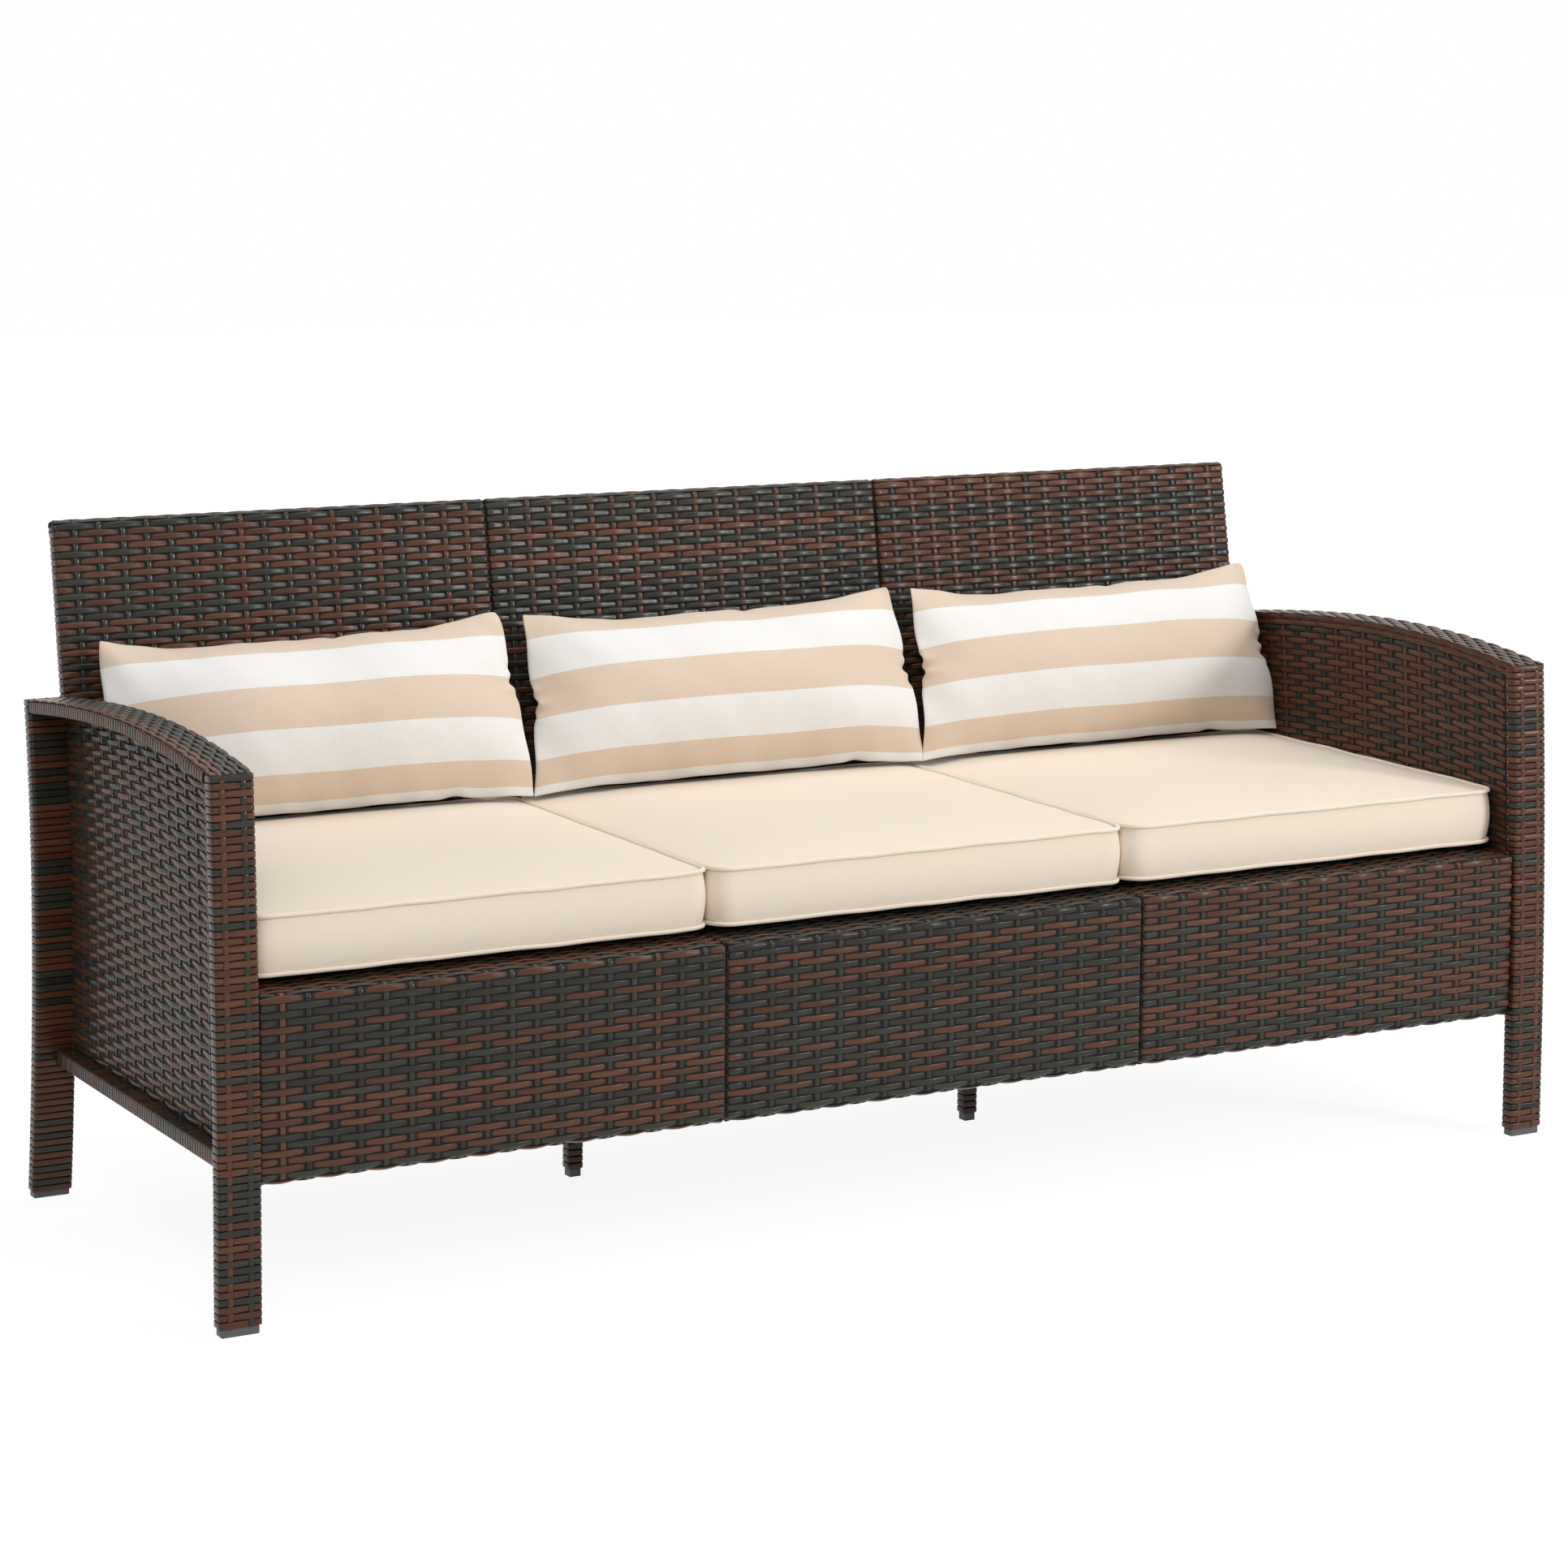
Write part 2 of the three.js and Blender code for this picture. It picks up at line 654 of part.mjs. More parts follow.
// Closed solid through rings of equal length, from a bottom centre to a top centre
function lofted(rings, bottom, top) {
  const count = rings[0].length;
  const positions = [bottom, ...rings.flat(), top].flat();
  const last = 1 + rings.length * count;
  const index = [];
  for (let i = 0; i < count; i += 1) {
    const j = (i + 1) % count;
    index.push(0, 1 + j, 1 + i);
    for (let ring = 0; ring + 1 < rings.length; ring += 1) {
      const low = 1 + ring * count;
      const high = low + count;
      index.push(low + i, low + j, high + j, low + i, high + j, high + i);
    }
    index.push(last, last - count + i, last - count + j);
  }
  const geometry = new THREE.BufferGeometry();
  geometry.setAttribute('position', new THREE.Float32BufferAttribute(positions, 3));
  geometry.setIndex(index);
  geometry.computeVertexNormals();
  return geometry;
}

const cushionHalfX = seatHalf - cushionEase;
const cushionHalfY = cushionDepth / 2;
const cushionY = cushionFront + cushionHalfY;
const crownPower = 2.2;
const crownShares = [0.95, 0.8, 0.55, 0.28];

// Height of a seat cushion's crown, for a place at a share of the way out to its edge
function crownHeight(share) {
  return cushionUpperSeam + cushionCrown * (1 - share ** crownPower);
}

// Box cushion: flat underneath, straight band, crowned top
function seatCushion() {
  const outline = cushionOutline(cushionHalfX, cushionHalfY, cushionCornerRadius, cushionPull);
  const ring = (share, z) => outline.map(([x, y]) => [x * share, y * share, z]);
  const under = 1 - cushionUnderside / cushionHalfY;
  const bandMiddle = (cushionLowerSeam + cushionUpperSeam) / 2;
  return lofted([
    ring(under, 0), ring(1, cushionLowerSeam), ring(1, bandMiddle), ring(1, cushionUpperSeam),
    ...crownShares.map((share) => ring(share, crownHeight(share))),
  ], [0, 0, 0], [0, 0, crownHeight(0)]);
}

// Knife-edge pillow, fullest in the middle and thin at its drawn-out corners, standing on its long edge
const pillowPower = 4;
function pillow() {
  const across = 16;
  const up = 10;
  const [halfX, halfZ, halfT] = [pillowWidth / 2, pillowHeight / 2, pillowThickness / 2];
  const point = (i, k, face) => {
    const u = Math.sin(((2 * i) / across - 1) * (Math.PI / 2));
    const v = Math.sin(((2 * k) / up - 1) * (Math.PI / 2));
    const x = u * (halfX - pillowPull * (1 - v * v));
    const z = v * (halfZ - pillowPull * (1 - u * u));
    const full = Math.sqrt((1 - u ** pillowPower) * (1 - v ** pillowPower));
    return [x, face * halfT * full, z];
  };
  const positions = [];
  const slot = new Map();
  const vertex = (i, k, face) => {
    const edge = i === 0 || k === 0 || i === across || k === up;
    const key = `${i},${k},${edge ? 0 : face}`;
    if (!slot.has(key)) {
      slot.set(key, positions.length / 3);
      positions.push(...point(i, k, edge ? 0 : face));
    }
    return slot.get(key);
  };
  const index = [];
  for (let i = 0; i < across; i += 1) {
    for (let k = 0; k < up; k += 1) {
      for (const face of [-1, 1]) {
        const [a, b] = [vertex(i, k, face), vertex(i + 1, k, face)];
        const [c, d] = [vertex(i + 1, k + 1, face), vertex(i, k + 1, face)];
        const flip = (i < across / 2) === (k < up / 2);
        const pair = flip ? [a, b, c, a, c, d] : [a, b, d, b, c, d];
        index.push(...(face < 0 ? pair : pair.reverse()));
      }
    }
  }
  const geometry = new THREE.BufferGeometry();
  geometry.setAttribute('position', new THREE.Float32BufferAttribute(positions, 3));
  geometry.setIndex(index);
  geometry.rotateX(-THREE.MathUtils.degToRad(pillowLean));
  return geometry;
}

// Lets a pillow down on its seat cushion and back against the woven back, in a few rounds
const settlingRounds = 4;
function settled(geometry) {
  const place = geometry.attributes.position;
  const [sin, cos] = [Math.sin(backLean), Math.cos(backLean)];
  const reach = (i) => place.getY(i) * cos - place.getZ(i) * sin;
  const height = pillowHeight / 2;
  geometry.translate(pillowShift, 0, deckHeight + cushionUpperSeam + height);
  const plane = backFootY * cos - backFootZ * sin;
  for (let round = 0; round < settlingRounds; round += 1) {
    let rear = -Infinity;
    for (let i = 0; i < place.count; i += 1) rear = Math.max(rear, reach(i));
    geometry.translate(0, (plane - rear - pillowClearance) / cos, 0);
    let gap = Infinity;
    for (let i = 0; i < place.count; i += 1) {
      const across = Math.abs(place.getX(i)) / cushionHalfX;
      const along = Math.abs(place.getY(i) - cushionY) / cushionHalfY;
      const ground = deckHeight + seatClearance + crownHeight(Math.min(1, Math.max(across, along)));
      gap = Math.min(gap, place.getZ(i) - ground);
    }
    geometry.translate(0, 0, pillowClearance - gap);
  }
  geometry.computeVertexNormals();
  return geometry;
}

// Assembly
const sofa = new THREE.Group();

const armSides = { left: -1, right: 1 };
for (const [name, side] of Object.entries(armSides)) {
  const arm = new THREE.Group();
  sofa.add(arm);
  piece(`arm_frame_${name}`, armFrame(side), 'steel', arm);
  for (const [wrap, body] of Object.entries(armWraps(side))) piece(`${wrap}_${name}`, body, 'wicker', arm);
  piece(`side_rail_wrap_${name}`, railWrap(side), 'wicker', arm);
  piece(`side_panel_weave_${name}`, sidePanel(side), 'wicker', arm);
  piece(`front_foot_cap_${name}`, legCap(side, frontLegY), 'cap', arm);
  piece(`rear_foot_cap_${name}`, legCap(side, rearLegY), 'cap', arm);
}

const backBoltFoot = topBarZ - barHalf - seatClearance;
const backBoltLength = backFootZ + skinInset + backTubeWall + boltReach - backBoltFoot;
places.forEach((name, n) => {
  const first = n === 0;
  const last = n === places.length - 1;
  const seat = new THREE.Group();
  seat.position.x = (n - (places.length - 1) / 2) * seatPitch;
  sofa.add(seat);
  const tabSigns = [...(first ? [-1] : []), ...(last ? [1] : [])];
  piece(`seat_frame_${name}`, seatFrame(tabSigns), 'steel', seat);
  piece(`seat_deck_weave_${name}`, deckWeave(), 'wicker', seat);
  piece(`apron_weave_${name}`, apronWeave(), 'wicker', seat);
  piece(`back_frame_${name}`, backFrame(), 'steel', seat);
  piece(`back_weave_${name}`, backWeave(), 'wicker', seat);
  for (const [hand, sign] of Object.entries(armSides)) {
    const foot = [sign * backBoltX, rearBarY, backBoltFoot];
    piece(`back_bolt_${name}_${hand}`, bolt(backBoltLength), 'zinc', seat, ...foot);
  }
  piece(`seat_cushion_${name}`, seatCushion(), 'cream', seat, 0, cushionY, deckHeight + seatClearance);
  piece(`pillow_${name}`, settled(pillow()), 'beige', seat);
});

// Bolts that go sideways from a seat frame into an arm
for (const [name, side] of Object.entries(armSides)) {
  const bolts = {
    front: [barSize, frontBoltY, frontBoltZ],
    rear: [tabThickness, rearBoltY, rearBoltZ],
  };
  for (const [end, [grip, y, z]] of Object.entries(bolts)) {
    const start = armInner - armGap - grip - seatClearance;
    const length = armInner + skinInset + legWall + boltReach - start;
    const mesh = piece(`arm_bolt_${end}_${name}`, bolt(length), 'zinc', sofa, side * start, y, z);
    mesh.rotation.y = side * (Math.PI / 2);
  }
}

// Thin legs and the bolts at each seam between two seats
for (let n = 0; n + 1 < places.length; n += 1) {
  const name = n === 0 ? 'left' : 'right';
  const seam = new THREE.Group();
  seam.position.x = (n + 1 - places.length / 2) * seatPitch;
  sofa.add(seam);
  piece(`support_leg_${name}`, supportLeg(), 'steel', seam);
  piece(`support_wrap_${name}`, supportWrap(), 'wicker', seam);
  piece(`support_cap_${name}`, supportCap(), 'cap', seam);
  const plateFoot = plateTop - plateThickness - seatClearance;
  const plateBoltLength = plateThickness + 2 * seatClearance + barWall + boltReach;
  for (const [hand, sign] of Object.entries({ front: -1, rear: 1 })) {
    piece(`support_bolt_${name}_${hand}`, bolt(plateBoltLength), 'zinc', seam,
      sign * plateBoltX, supportY + sign * plateBoltReach, plateFoot);
  }
  const start = seamGap / 2 + barSize + seatClearance;
  const seamBolt = piece(`seam_bolt_${name}`, bolt(2 * start + boltReach), 'zinc', seam,
    -start, frontBarY, frontBoltZ);
  seamBolt.rotation.y = Math.PI / 2;
}

// The origin is on the floor, under the middle of the sofa
sofa.updateMatrixWorld(true);
const bounds = new THREE.Box3().setFromObject(sofa, true);
sofa.position.y = -(bounds.min.y + bounds.max.y) / 2;
sofa.updateMatrixWorld(true);

export default sofa;
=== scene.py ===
# %% [markdown]
# # A rattan garden sofa, dressed
#
# The CAD part has the frame and the plain forms of this sofa. This script gives them the looks of the
# real thing: strands of woven resin, soft cushions, striped pillows, coated steel, floor and light.
# It works in metres, in the frame of the CAD part, and adds one finished mesh for every form that it
# replaces. The shapes of the CAD meshes themselves are never changed.

import math
import random

import bpy
from mathutils import Matrix, Vector


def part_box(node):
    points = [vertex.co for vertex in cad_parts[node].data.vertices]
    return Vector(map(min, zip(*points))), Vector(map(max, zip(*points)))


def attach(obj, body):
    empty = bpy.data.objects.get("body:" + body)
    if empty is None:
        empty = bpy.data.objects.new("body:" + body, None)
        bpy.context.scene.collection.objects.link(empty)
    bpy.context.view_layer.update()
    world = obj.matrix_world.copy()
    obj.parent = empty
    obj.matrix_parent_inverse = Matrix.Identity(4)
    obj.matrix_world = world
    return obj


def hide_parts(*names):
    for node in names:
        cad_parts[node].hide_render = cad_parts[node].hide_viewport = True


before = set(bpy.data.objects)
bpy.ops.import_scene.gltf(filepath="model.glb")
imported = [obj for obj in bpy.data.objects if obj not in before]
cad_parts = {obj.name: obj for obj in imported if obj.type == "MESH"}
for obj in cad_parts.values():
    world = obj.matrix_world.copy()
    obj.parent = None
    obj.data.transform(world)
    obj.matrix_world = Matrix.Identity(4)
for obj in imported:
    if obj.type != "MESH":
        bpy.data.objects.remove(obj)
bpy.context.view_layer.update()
scene = bpy.context.scene
MM = 0.001
SIDES = {"left": -1, "right": 1}
PLACES = {"left": -1, "middle": 0, "right": 1}


def add_object(name, data):
    thing = bpy.data.objects.new(name, data)
    scene.collection.objects.link(thing)
    return thing


# %% [markdown]
# ## The curves of the arm
#
# The arm is one bent band. Its front leg leans back a little towards the top, its rear leg has a
# waist, and the arm between them is a shallow arch. The strands could be fitted by eye, or drawn onto
# the CAD mesh with a Shrinkwrap modifier. Here the same three curves are written down once more, in
# millimetres, because then every strand lies exactly on its form and at an even distance from the next.
# They count y from the front edge and z from the floor, and place() moves them to the part's middle.

# %% The curves of the arm
SHIFT = -336.324
ARM_TOP, TUBE_HALF = 605, 10
STRAIGHT_FOOT, WAIST = 100, 360
ARCH, REAR_DROP, ARCH_LEAN = 22, 4, 0.35


def front_leg_y(z):
    return 10 + 16 * (max(0, z - STRAIGHT_FOOT) / (ARM_TOP - STRAIGHT_FOOT)) ** 2


def rear_leg_y(z):
    if z > WAIST:
        return 591 + 20 * ((z - WAIST) / (ARM_TOP - WAIST)) ** 2
    return 591 + 24 * (1 - z / WAIST) ** 2


ARM_START, ARM_END = front_leg_y(ARM_TOP) - TUBE_HALF, rear_leg_y(ARM_TOP) + TUBE_HALF


def arm_top_z(y):
    """The arch of the arm, a little fuller at the front and lower at the rear."""
    share = (y - ARM_START) / (ARM_END - ARM_START)
    arch = 4 * ARCH * share * (1 - share) * (1 + ARCH_LEAN * (0.5 - share))
    return ARM_TOP - REAR_DROP * share + arch


def place(x, y, z):
    """A point in the part's own frame, in metres."""
    return Vector((x * MM, (y + SHIFT) * MM, z * MM))


for name in ("front_leg_wrap_right", "rear_leg_wrap_right", "arm_wrap_right",
             "side_rail_wrap_right", "side_panel_weave_right", "support_wrap_right",
             "apron_weave_middle", "back_weave_middle", "seat_deck_weave_middle",
             "seat_cushion_middle", "pillow_middle", "front_foot_cap_right"):
    low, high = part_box(name)
    print(name, *([round(v * 1000, 1) for v in corner] for corner in (low, high)))

# %% [markdown]
# ## Guides for the strands
#
# Wicker could be one smooth sheet with a bump texture, but then its edges would be straight and no
# light would catch a strand that goes over another. So every strand is real. It follows a guide: a
# poly line with its points where the bends are. A row guide crosses a sheet and a path guide climbs
# it. The section guide is the flat oval of one extruded strand. Guides are only read by the node
# trees, and are deleted once the meshes are made.

# %% Guides for the strands
guides = []


def poly_curve(name, lines, closed=False):
    """Poly lines in metres as one curve object."""
    data = bpy.data.curves.new(name, "CURVE")
    data.dimensions = "3D"
    for line in lines:
        spline = data.splines.new("POLY")
        spline.points.add(len(line) - 1)
        for point, where in zip(spline.points, line):
            point.co = (*where, 1)
        spline.use_cyclic_u = closed
    return add_object(name, data)


def guide(name, lines, closed=False):
    """Poly lines that only the node trees read."""
    guides.append(poly_curve(name, lines, closed))
    return guides[-1]


def arc(centre, radius, start, end, steps):
    """Points of an arc in a plane, angles in degrees."""
    found = []
    for step in range(steps + 1):
        angle = math.radians(start + (end - start) * step / steps)
        found.append((centre[0] + radius * math.cos(angle), centre[1] + radius * math.sin(angle)))
    return found


def strand_section(name, width, thickness, points=10):
    """The closed section of a strand, nearly flat on its face with rounded edges."""
    half, deep = width / 2 * MM, thickness / 2 * MM
    if points == 10:
        outline = [(1, 0), (0.9, 0.7), (0.62, 0.97), (0, 1.04), (-0.62, 0.97), (-0.9, 0.7), (-1, 0),
                   (-0.7, -0.85), (0, -1), (0.7, -0.85)]
    else:
        outline = [(1, 0), (0.6, 1), (-0.6, 1), (-1, 0), (-0.6, -1), (0.6, -1)]
    return guide(name, [[(half * a, deep * b, 0) for a, b in outline]], closed=True)


ROW_PITCH = 8.37
WARP_PITCH = 30.1
flat_strand = strand_section("flat_strand", 7.65, 2.3)
slim_strand = strand_section("slim_strand", 7.1, 1.8)
plain_strand = strand_section("plain_strand", 7.4, 2.2, 6)
print("row pitch", ROW_PITCH, "mm, warp pitch", WARP_PITCH, "mm")

# %% [markdown]
# ## A short way to write node trees
#
# Geometry Nodes does the repeated work. This small helper adds a node, sets its properties, and links
# or fills its inputs in one line, so that a tree can be read from top to bottom like a recipe. The
# materials further down are written with the same helper.

# %% A short way to write node trees
class Nodes:
    """The nodes of a tree or of a material, written line by line."""

    def __init__(self, graph):
        self.graph = graph

    def fill(self, socket, value):
        if isinstance(value, bpy.types.NodeSocket):
            self.graph.links.new(value, socket)
        else:
            socket.default_value = value

    def node(self, kind, inputs=None, **settings):
        """Add a node. inputs maps a socket's name or number to a value or another socket."""
        node = self.graph.nodes.new(kind)
        for key, value in settings.items():
            setattr(node, key, value)
        for key, value in (inputs or {}).items():
            self.fill(node.inputs[key], value)
        return node

    def add(self, kind, inputs=None, out=0, **settings):
        """Add a node and give one of its outputs."""
        return self.node(kind, inputs, **settings).outputs[out]

    def math(self, operation, first, second=0.0):
        return self.add("ShaderNodeMath", {0: first, 1: second}, operation=operation)

    def plus(self, first, second):
        return self.math("ADD", first, second)

    def minus(self, first, second):
        return self.math("SUBTRACT", first, second)

    def times(self, first, second):
        return self.math("MULTIPLY", first, second)

    def over(self, first, second):
        return self.math("DIVIDE", first, second)


class Tree(Nodes):
    """A geometry node group with named inputs."""

    def __init__(self, name, inputs):
        super().__init__(bpy.data.node_groups.new(name, "GeometryNodeTree"))
        self.identifiers = {}
        self.kinds = dict(inputs)
        sockets = self.graph.interface
        for label, kind in inputs:
            socket = sockets.new_socket(label, in_out="INPUT", socket_type="NodeSocket" + kind)
            self.identifiers[label] = socket.identifier
        sockets.new_socket("Geometry", in_out="OUTPUT", socket_type="NodeSocketGeometry")
        self.entry = self.node("NodeGroupInput")
        self.exit = self.node("NodeGroupOutput")

    def __getitem__(self, label):
        return self.entry.outputs[label]

    def vector(self, operation, first, second=(0, 0, 0)):
        second_key = "Scale" if operation == "SCALE" else 1
        return self.add("ShaderNodeVectorMath", {0: first, second_key: second}, operation=operation)

    def position(self):
        """The x, y and z of the point that is being worked on."""
        where = self.add("GeometryNodeInputPosition")
        return self.node("ShaderNodeSeparateXYZ", {0: where}).outputs[:]

    def join_axes(self, x, y, z):
        return self.add("ShaderNodeCombineXYZ", {0: x, 1: y, 2: z})

    def shape(self, label):
        return self.add("GeometryNodeObjectInfo", {"Object": self[label]}, out="Geometry")

    def store(self, geometry, name, value):
        return self.add("GeometryNodeStoreNamedAttribute", {"Geometry": geometry, "Name": name,
                                                            "Value": value},
                        data_type="FLOAT", domain="POINT")

    def move(self, geometry, position):
        return self.add("GeometryNodeSetPosition", {"Geometry": geometry, "Position": position})

    def copies(self, geometry, amount):
        """Copies of every line, with the number of the copy."""
        made = self.node("GeometryNodeDuplicateElements", {"Geometry": geometry, "Amount": amount},
                         domain="SPLINE").outputs
        return made["Geometry"], made["Duplicate Index"]

    def join(self, *parts):
        node = self.node("GeometryNodeJoinGeometry")
        for part in reversed(parts):
            self.fill(node.inputs[0], part)
        return node.outputs[0]

    def call(self, other, inputs):
        """Use another tree as one node."""
        return self.add("GeometryNodeGroup", inputs, node_tree=other.graph)

    def finish(self, geometry):
        self.fill(self.exit.inputs[0], geometry)

    def finish_mirrored(self, geometry):
        """Finish a tree that mirrors a piece when Side is -1, with its faces turned outward again."""
        mirrored = self.math("LESS_THAN", self["Side"], 0.0)
        self.finish(self.add("GeometryNodeFlipFaces", {"Mesh": geometry, "Selection": mirrored}))


print("tree helper ready")

# %% [markdown]
# ## Colour of a strand
#
# The sofa is woven from two colours of resin, a red brown and a grey green that is nearly black. One
# strand keeps its colour over its whole run. A texture could paint the colours by place, but it would
# change colour where a strand bends away, so the colour is picked once per strand, by its number, from
# a seeded random value. Each strand also gets a small shade of its own and a running length, which the
# material uses for the fine grooves that run along it.

# %% Colour of a strand
strand_tree = Tree("Strand from a line", [
    ("Lines", "Geometry"), ("Section", "Object"), ("Number", "Float"), ("Brown share", "Float"),
    ("Seed", "Int"), ("Width direction", "Vector"), ("Scale", "Float")])
t = strand_tree


def strand_dice(seed):
    """A random value between 0 and 1 for each strand."""
    return t.add("FunctionNodeRandomValue", {2: 0.0, 3: 1.0, 7: t["Number"], 8: seed}, out=1)


brown = t.math("LESS_THAN", strand_dice(t["Seed"]), t["Brown share"])
lines = t.store(t["Lines"], "tone", brown)
lines = t.store(lines, "shade", strand_dice(t.plus(t["Seed"], 100.0)))
lines = t.store(lines, "along", t.add("GeometryNodeSplineParameter", out="Length"))
lines = t.add("GeometryNodeSetCurveNormal", {"Curve": lines, "Normal": t["Width direction"]},
              mode="FREE")
section = t.store(t.shape("Section"), "across", t.position()[0])
t.finish(t.add("GeometryNodeCurveToMesh", {"Curve": lines, "Profile Curve": section,
                                           "Scale": t["Scale"], "Fill Caps": True}))
print("strand tree ready")

# %% [markdown]
# ## Rows across a sheet
#
# A row is one strand that goes across the sheet, over one upright and under the next. An Array modifier
# could stack the rows, but it can't turn the wave round from one row to the next. So this tree copies
# the row guide, sets each copy one pitch higher, and adds a wave that knows the number of its row. All
# of this happens in a flat drawing whose x is across, y along and z out of the sheet. The wave fades
# where the guide turns back round the edge of the sheet.

# %% Rows across a sheet
FADE = 2 * MM
rows_tree = Tree("Rows", [
    ("Row guide", "Object"), ("Section", "Object"), ("First row", "Int"), ("Rows", "Int"),
    ("Row pitch", "Float"), ("Row lift", "Float"), ("Warp pitch", "Float"), ("First warp", "Float"),
    ("Row brown share", "Float"), ("Row seed", "Int"), ("Pinch", "Float")])
t = rows_tree
rows, copy = t.copies(t.shape("Row guide"), t["Rows"])
number = t.plus(copy, t["First row"])
x, _, n = t.position()
turn = t.over(t.minus(x, t["First warp"]), t["Warp pitch"])
wave = t.math("COSINE", t.times(t.plus(turn, number), math.pi))
fade = t.math("MINIMUM", t.plus(t.times(n, 1 / FADE), 1.0), 1.0)
fade = t.math("MAXIMUM", fade, 0.0)
lift = t.times(t.times(wave, t["Row lift"]), fade)
height = t.times(t.plus(number, 0.5), t["Row pitch"])
thin = t.times(t.times(t.minus(1.0, wave), t["Pinch"]), fade)
t.finish(t.call(strand_tree, {
    "Lines": t.move(rows, t.join_axes(x, height, t.plus(n, lift))), "Section": t["Section"],
    "Number": number, "Brown share": t["Row brown share"], "Seed": t["Row seed"],
    "Width direction": (0, 1, 0), "Scale": t.minus(1.0, thin)}))
print("rows tree ready")

# %% [markdown]
# ## Uprights of a sheet
#
# The uprights, or warps, run the other way. In a plain weave each one dips under every second row. In
# the top of the arm the long strands dip under only one rib in four, which gives the long overlapping
# lozenges of a real wicker arm. Both are the same tree: a wave raised to a power makes narrow dips.

# %% Uprights of a sheet
warps_tree = Tree("Warps", [
    ("Section", "Object"), ("Start", "Float"), ("Length", "Float"), ("Row pitch", "Float"),
    ("First place", "Vector"), ("Place step", "Vector"), ("Warps", "Int"), ("Lift direction", "Vector"),
    ("Warp lift", "Float"), ("Period", "Float"), ("Dip power", "Float"), ("Stagger", "Float"),
    ("Width direction", "Vector"), ("Narrowing", "Float"), ("Warp brown share", "Float"),
    ("Warp seed", "Int")])
t = warps_tree
line = t.add("GeometryNodeCurvePrimitiveLine", {
    "Start": t.join_axes(0.0, t["Start"], 0.0),
    "End": t.join_axes(0.0, t.plus(t["Start"], t["Length"]), 0.0)})
half_rows = t.math("ROUND", t.times(t.over(t["Length"], t["Row pitch"]), 2.0))
line = t.add("GeometryNodeResampleCurve", {"Curve": line, "Count": t.plus(half_rows, 1.0)}, mode="COUNT")
warps, number = t.copies(line, t["Warps"])
s = t.position()[1]
cycle = t.over(t.minus(t.over(s, t["Row pitch"]), 0.5), t["Period"])
angle = t.times(t.plus(cycle, t.times(number, t["Stagger"])), 2 * math.pi)
swell = t.times(t.plus(t.math("COSINE", angle), 1.0), 0.5)
deep = t.math("POWER", swell, t["Dip power"])
dip = t.minus(1.0, t.times(deep, 2.0))
offset = t.vector("SCALE", t["Lift direction"], t.times(dip, t["Warp lift"]))
base = t.vector("ADD", t["First place"], t.vector("SCALE", t["Place step"], number))
placed = t.vector("ADD", t.vector("ADD", base, offset), t.join_axes(0.0, s, 0.0))
t.finish(t.call(strand_tree, {
    "Lines": t.move(warps, placed), "Section": t["Section"], "Number": number,
    "Brown share": t["Warp brown share"], "Seed": t["Warp seed"],
    "Width direction": t["Width direction"], "Scale": t.minus(1.0, t.times(deep, t["Narrowing"]))}))
print("warps tree ready")

# %% [markdown]
# ## From the flat drawing onto a path
#
# The flat drawing is bent onto the sofa last, as a maker winds a straight strand round a bent tube. A
# Curve modifier could bend a mesh too, but it needs the mesh first and squeezes it in tight bends. Here
# the distance along a strand picks a point on the path guide, and the strand's height above the sheet
# is measured square to the path there.

# %% From the flat drawing onto a path
bend_tree = Tree("Bend onto a path", [("Geometry", "Geometry"), ("Path guide", "Object"),
                                      ("Centre", "Float"), ("Side", "Float")])
t = bend_tree
x, s, n = t.position()
sample = t.node("GeometryNodeSampleCurve", {"Curves": t.shape("Path guide"), "Length": s},
                mode="LENGTH").outputs
outward = t.vector("CROSS_PRODUCT", (1, 0, 0), t.vector("NORMALIZE", sample["Tangent"]))
sideways = t.join_axes(t.plus(t["Centre"], t.times(x, t["Side"])), 0.0, 0.0)
spot = t.vector("ADD", t.vector("ADD", sample["Position"], sideways), t.vector("SCALE", outward, n))
t.finish_mirrored(t.move(t["Geometry"], spot))
print("bend tree ready")

# %% [markdown]
# ## From the flat drawing onto a patch
#
# The panel in an arm is not a strip but a patch between four edges, two of them legs and one of them
# the arch. A Coons patch blends the four edge curves: every point is the mean of what the two pairs of
# edges say, less what the corners say twice. The rows then fan out to follow the arch on their own.

# %% From the flat drawing onto a patch
patch_tree = Tree("Bend onto a patch", [
    ("Geometry", "Geometry"), ("Edges", "Object"), ("Across", "Float"), ("Up", "Float"),
    ("Side", "Float")])
t = patch_tree
x, y, n = t.position()
u, v = t.over(x, t["Across"]), t.over(y, t["Up"])
edges = t.shape("Edges")


def edge_point(number, share):
    return t.add("GeometryNodeSampleCurve", {"Curves": edges, "Factor": share, "Curve Index": number},
                 out="Position", mode="FACTOR")


def blend(first, second, share):
    return t.add("ShaderNodeMix", {0: share, 4: first, 5: second}, out=1, data_type="VECTOR")


rising = blend(edge_point(0, u), edge_point(1, u), v)
crossing = blend(edge_point(2, v), edge_point(3, v), u)
corners = blend(blend(edge_point(0, 0.0), edge_point(0, 1.0), u),
                blend(edge_point(1, 0.0), edge_point(1, 1.0), u), v)
spot = t.vector("SUBTRACT", t.vector("ADD", rising, crossing), corners)
off = t.join_axes(t.times(n, t["Side"]), 0.0, 0.0)
t.finish_mirrored(t.move(t["Geometry"], t.vector("ADD", spot, off)))
print("patch tree ready")
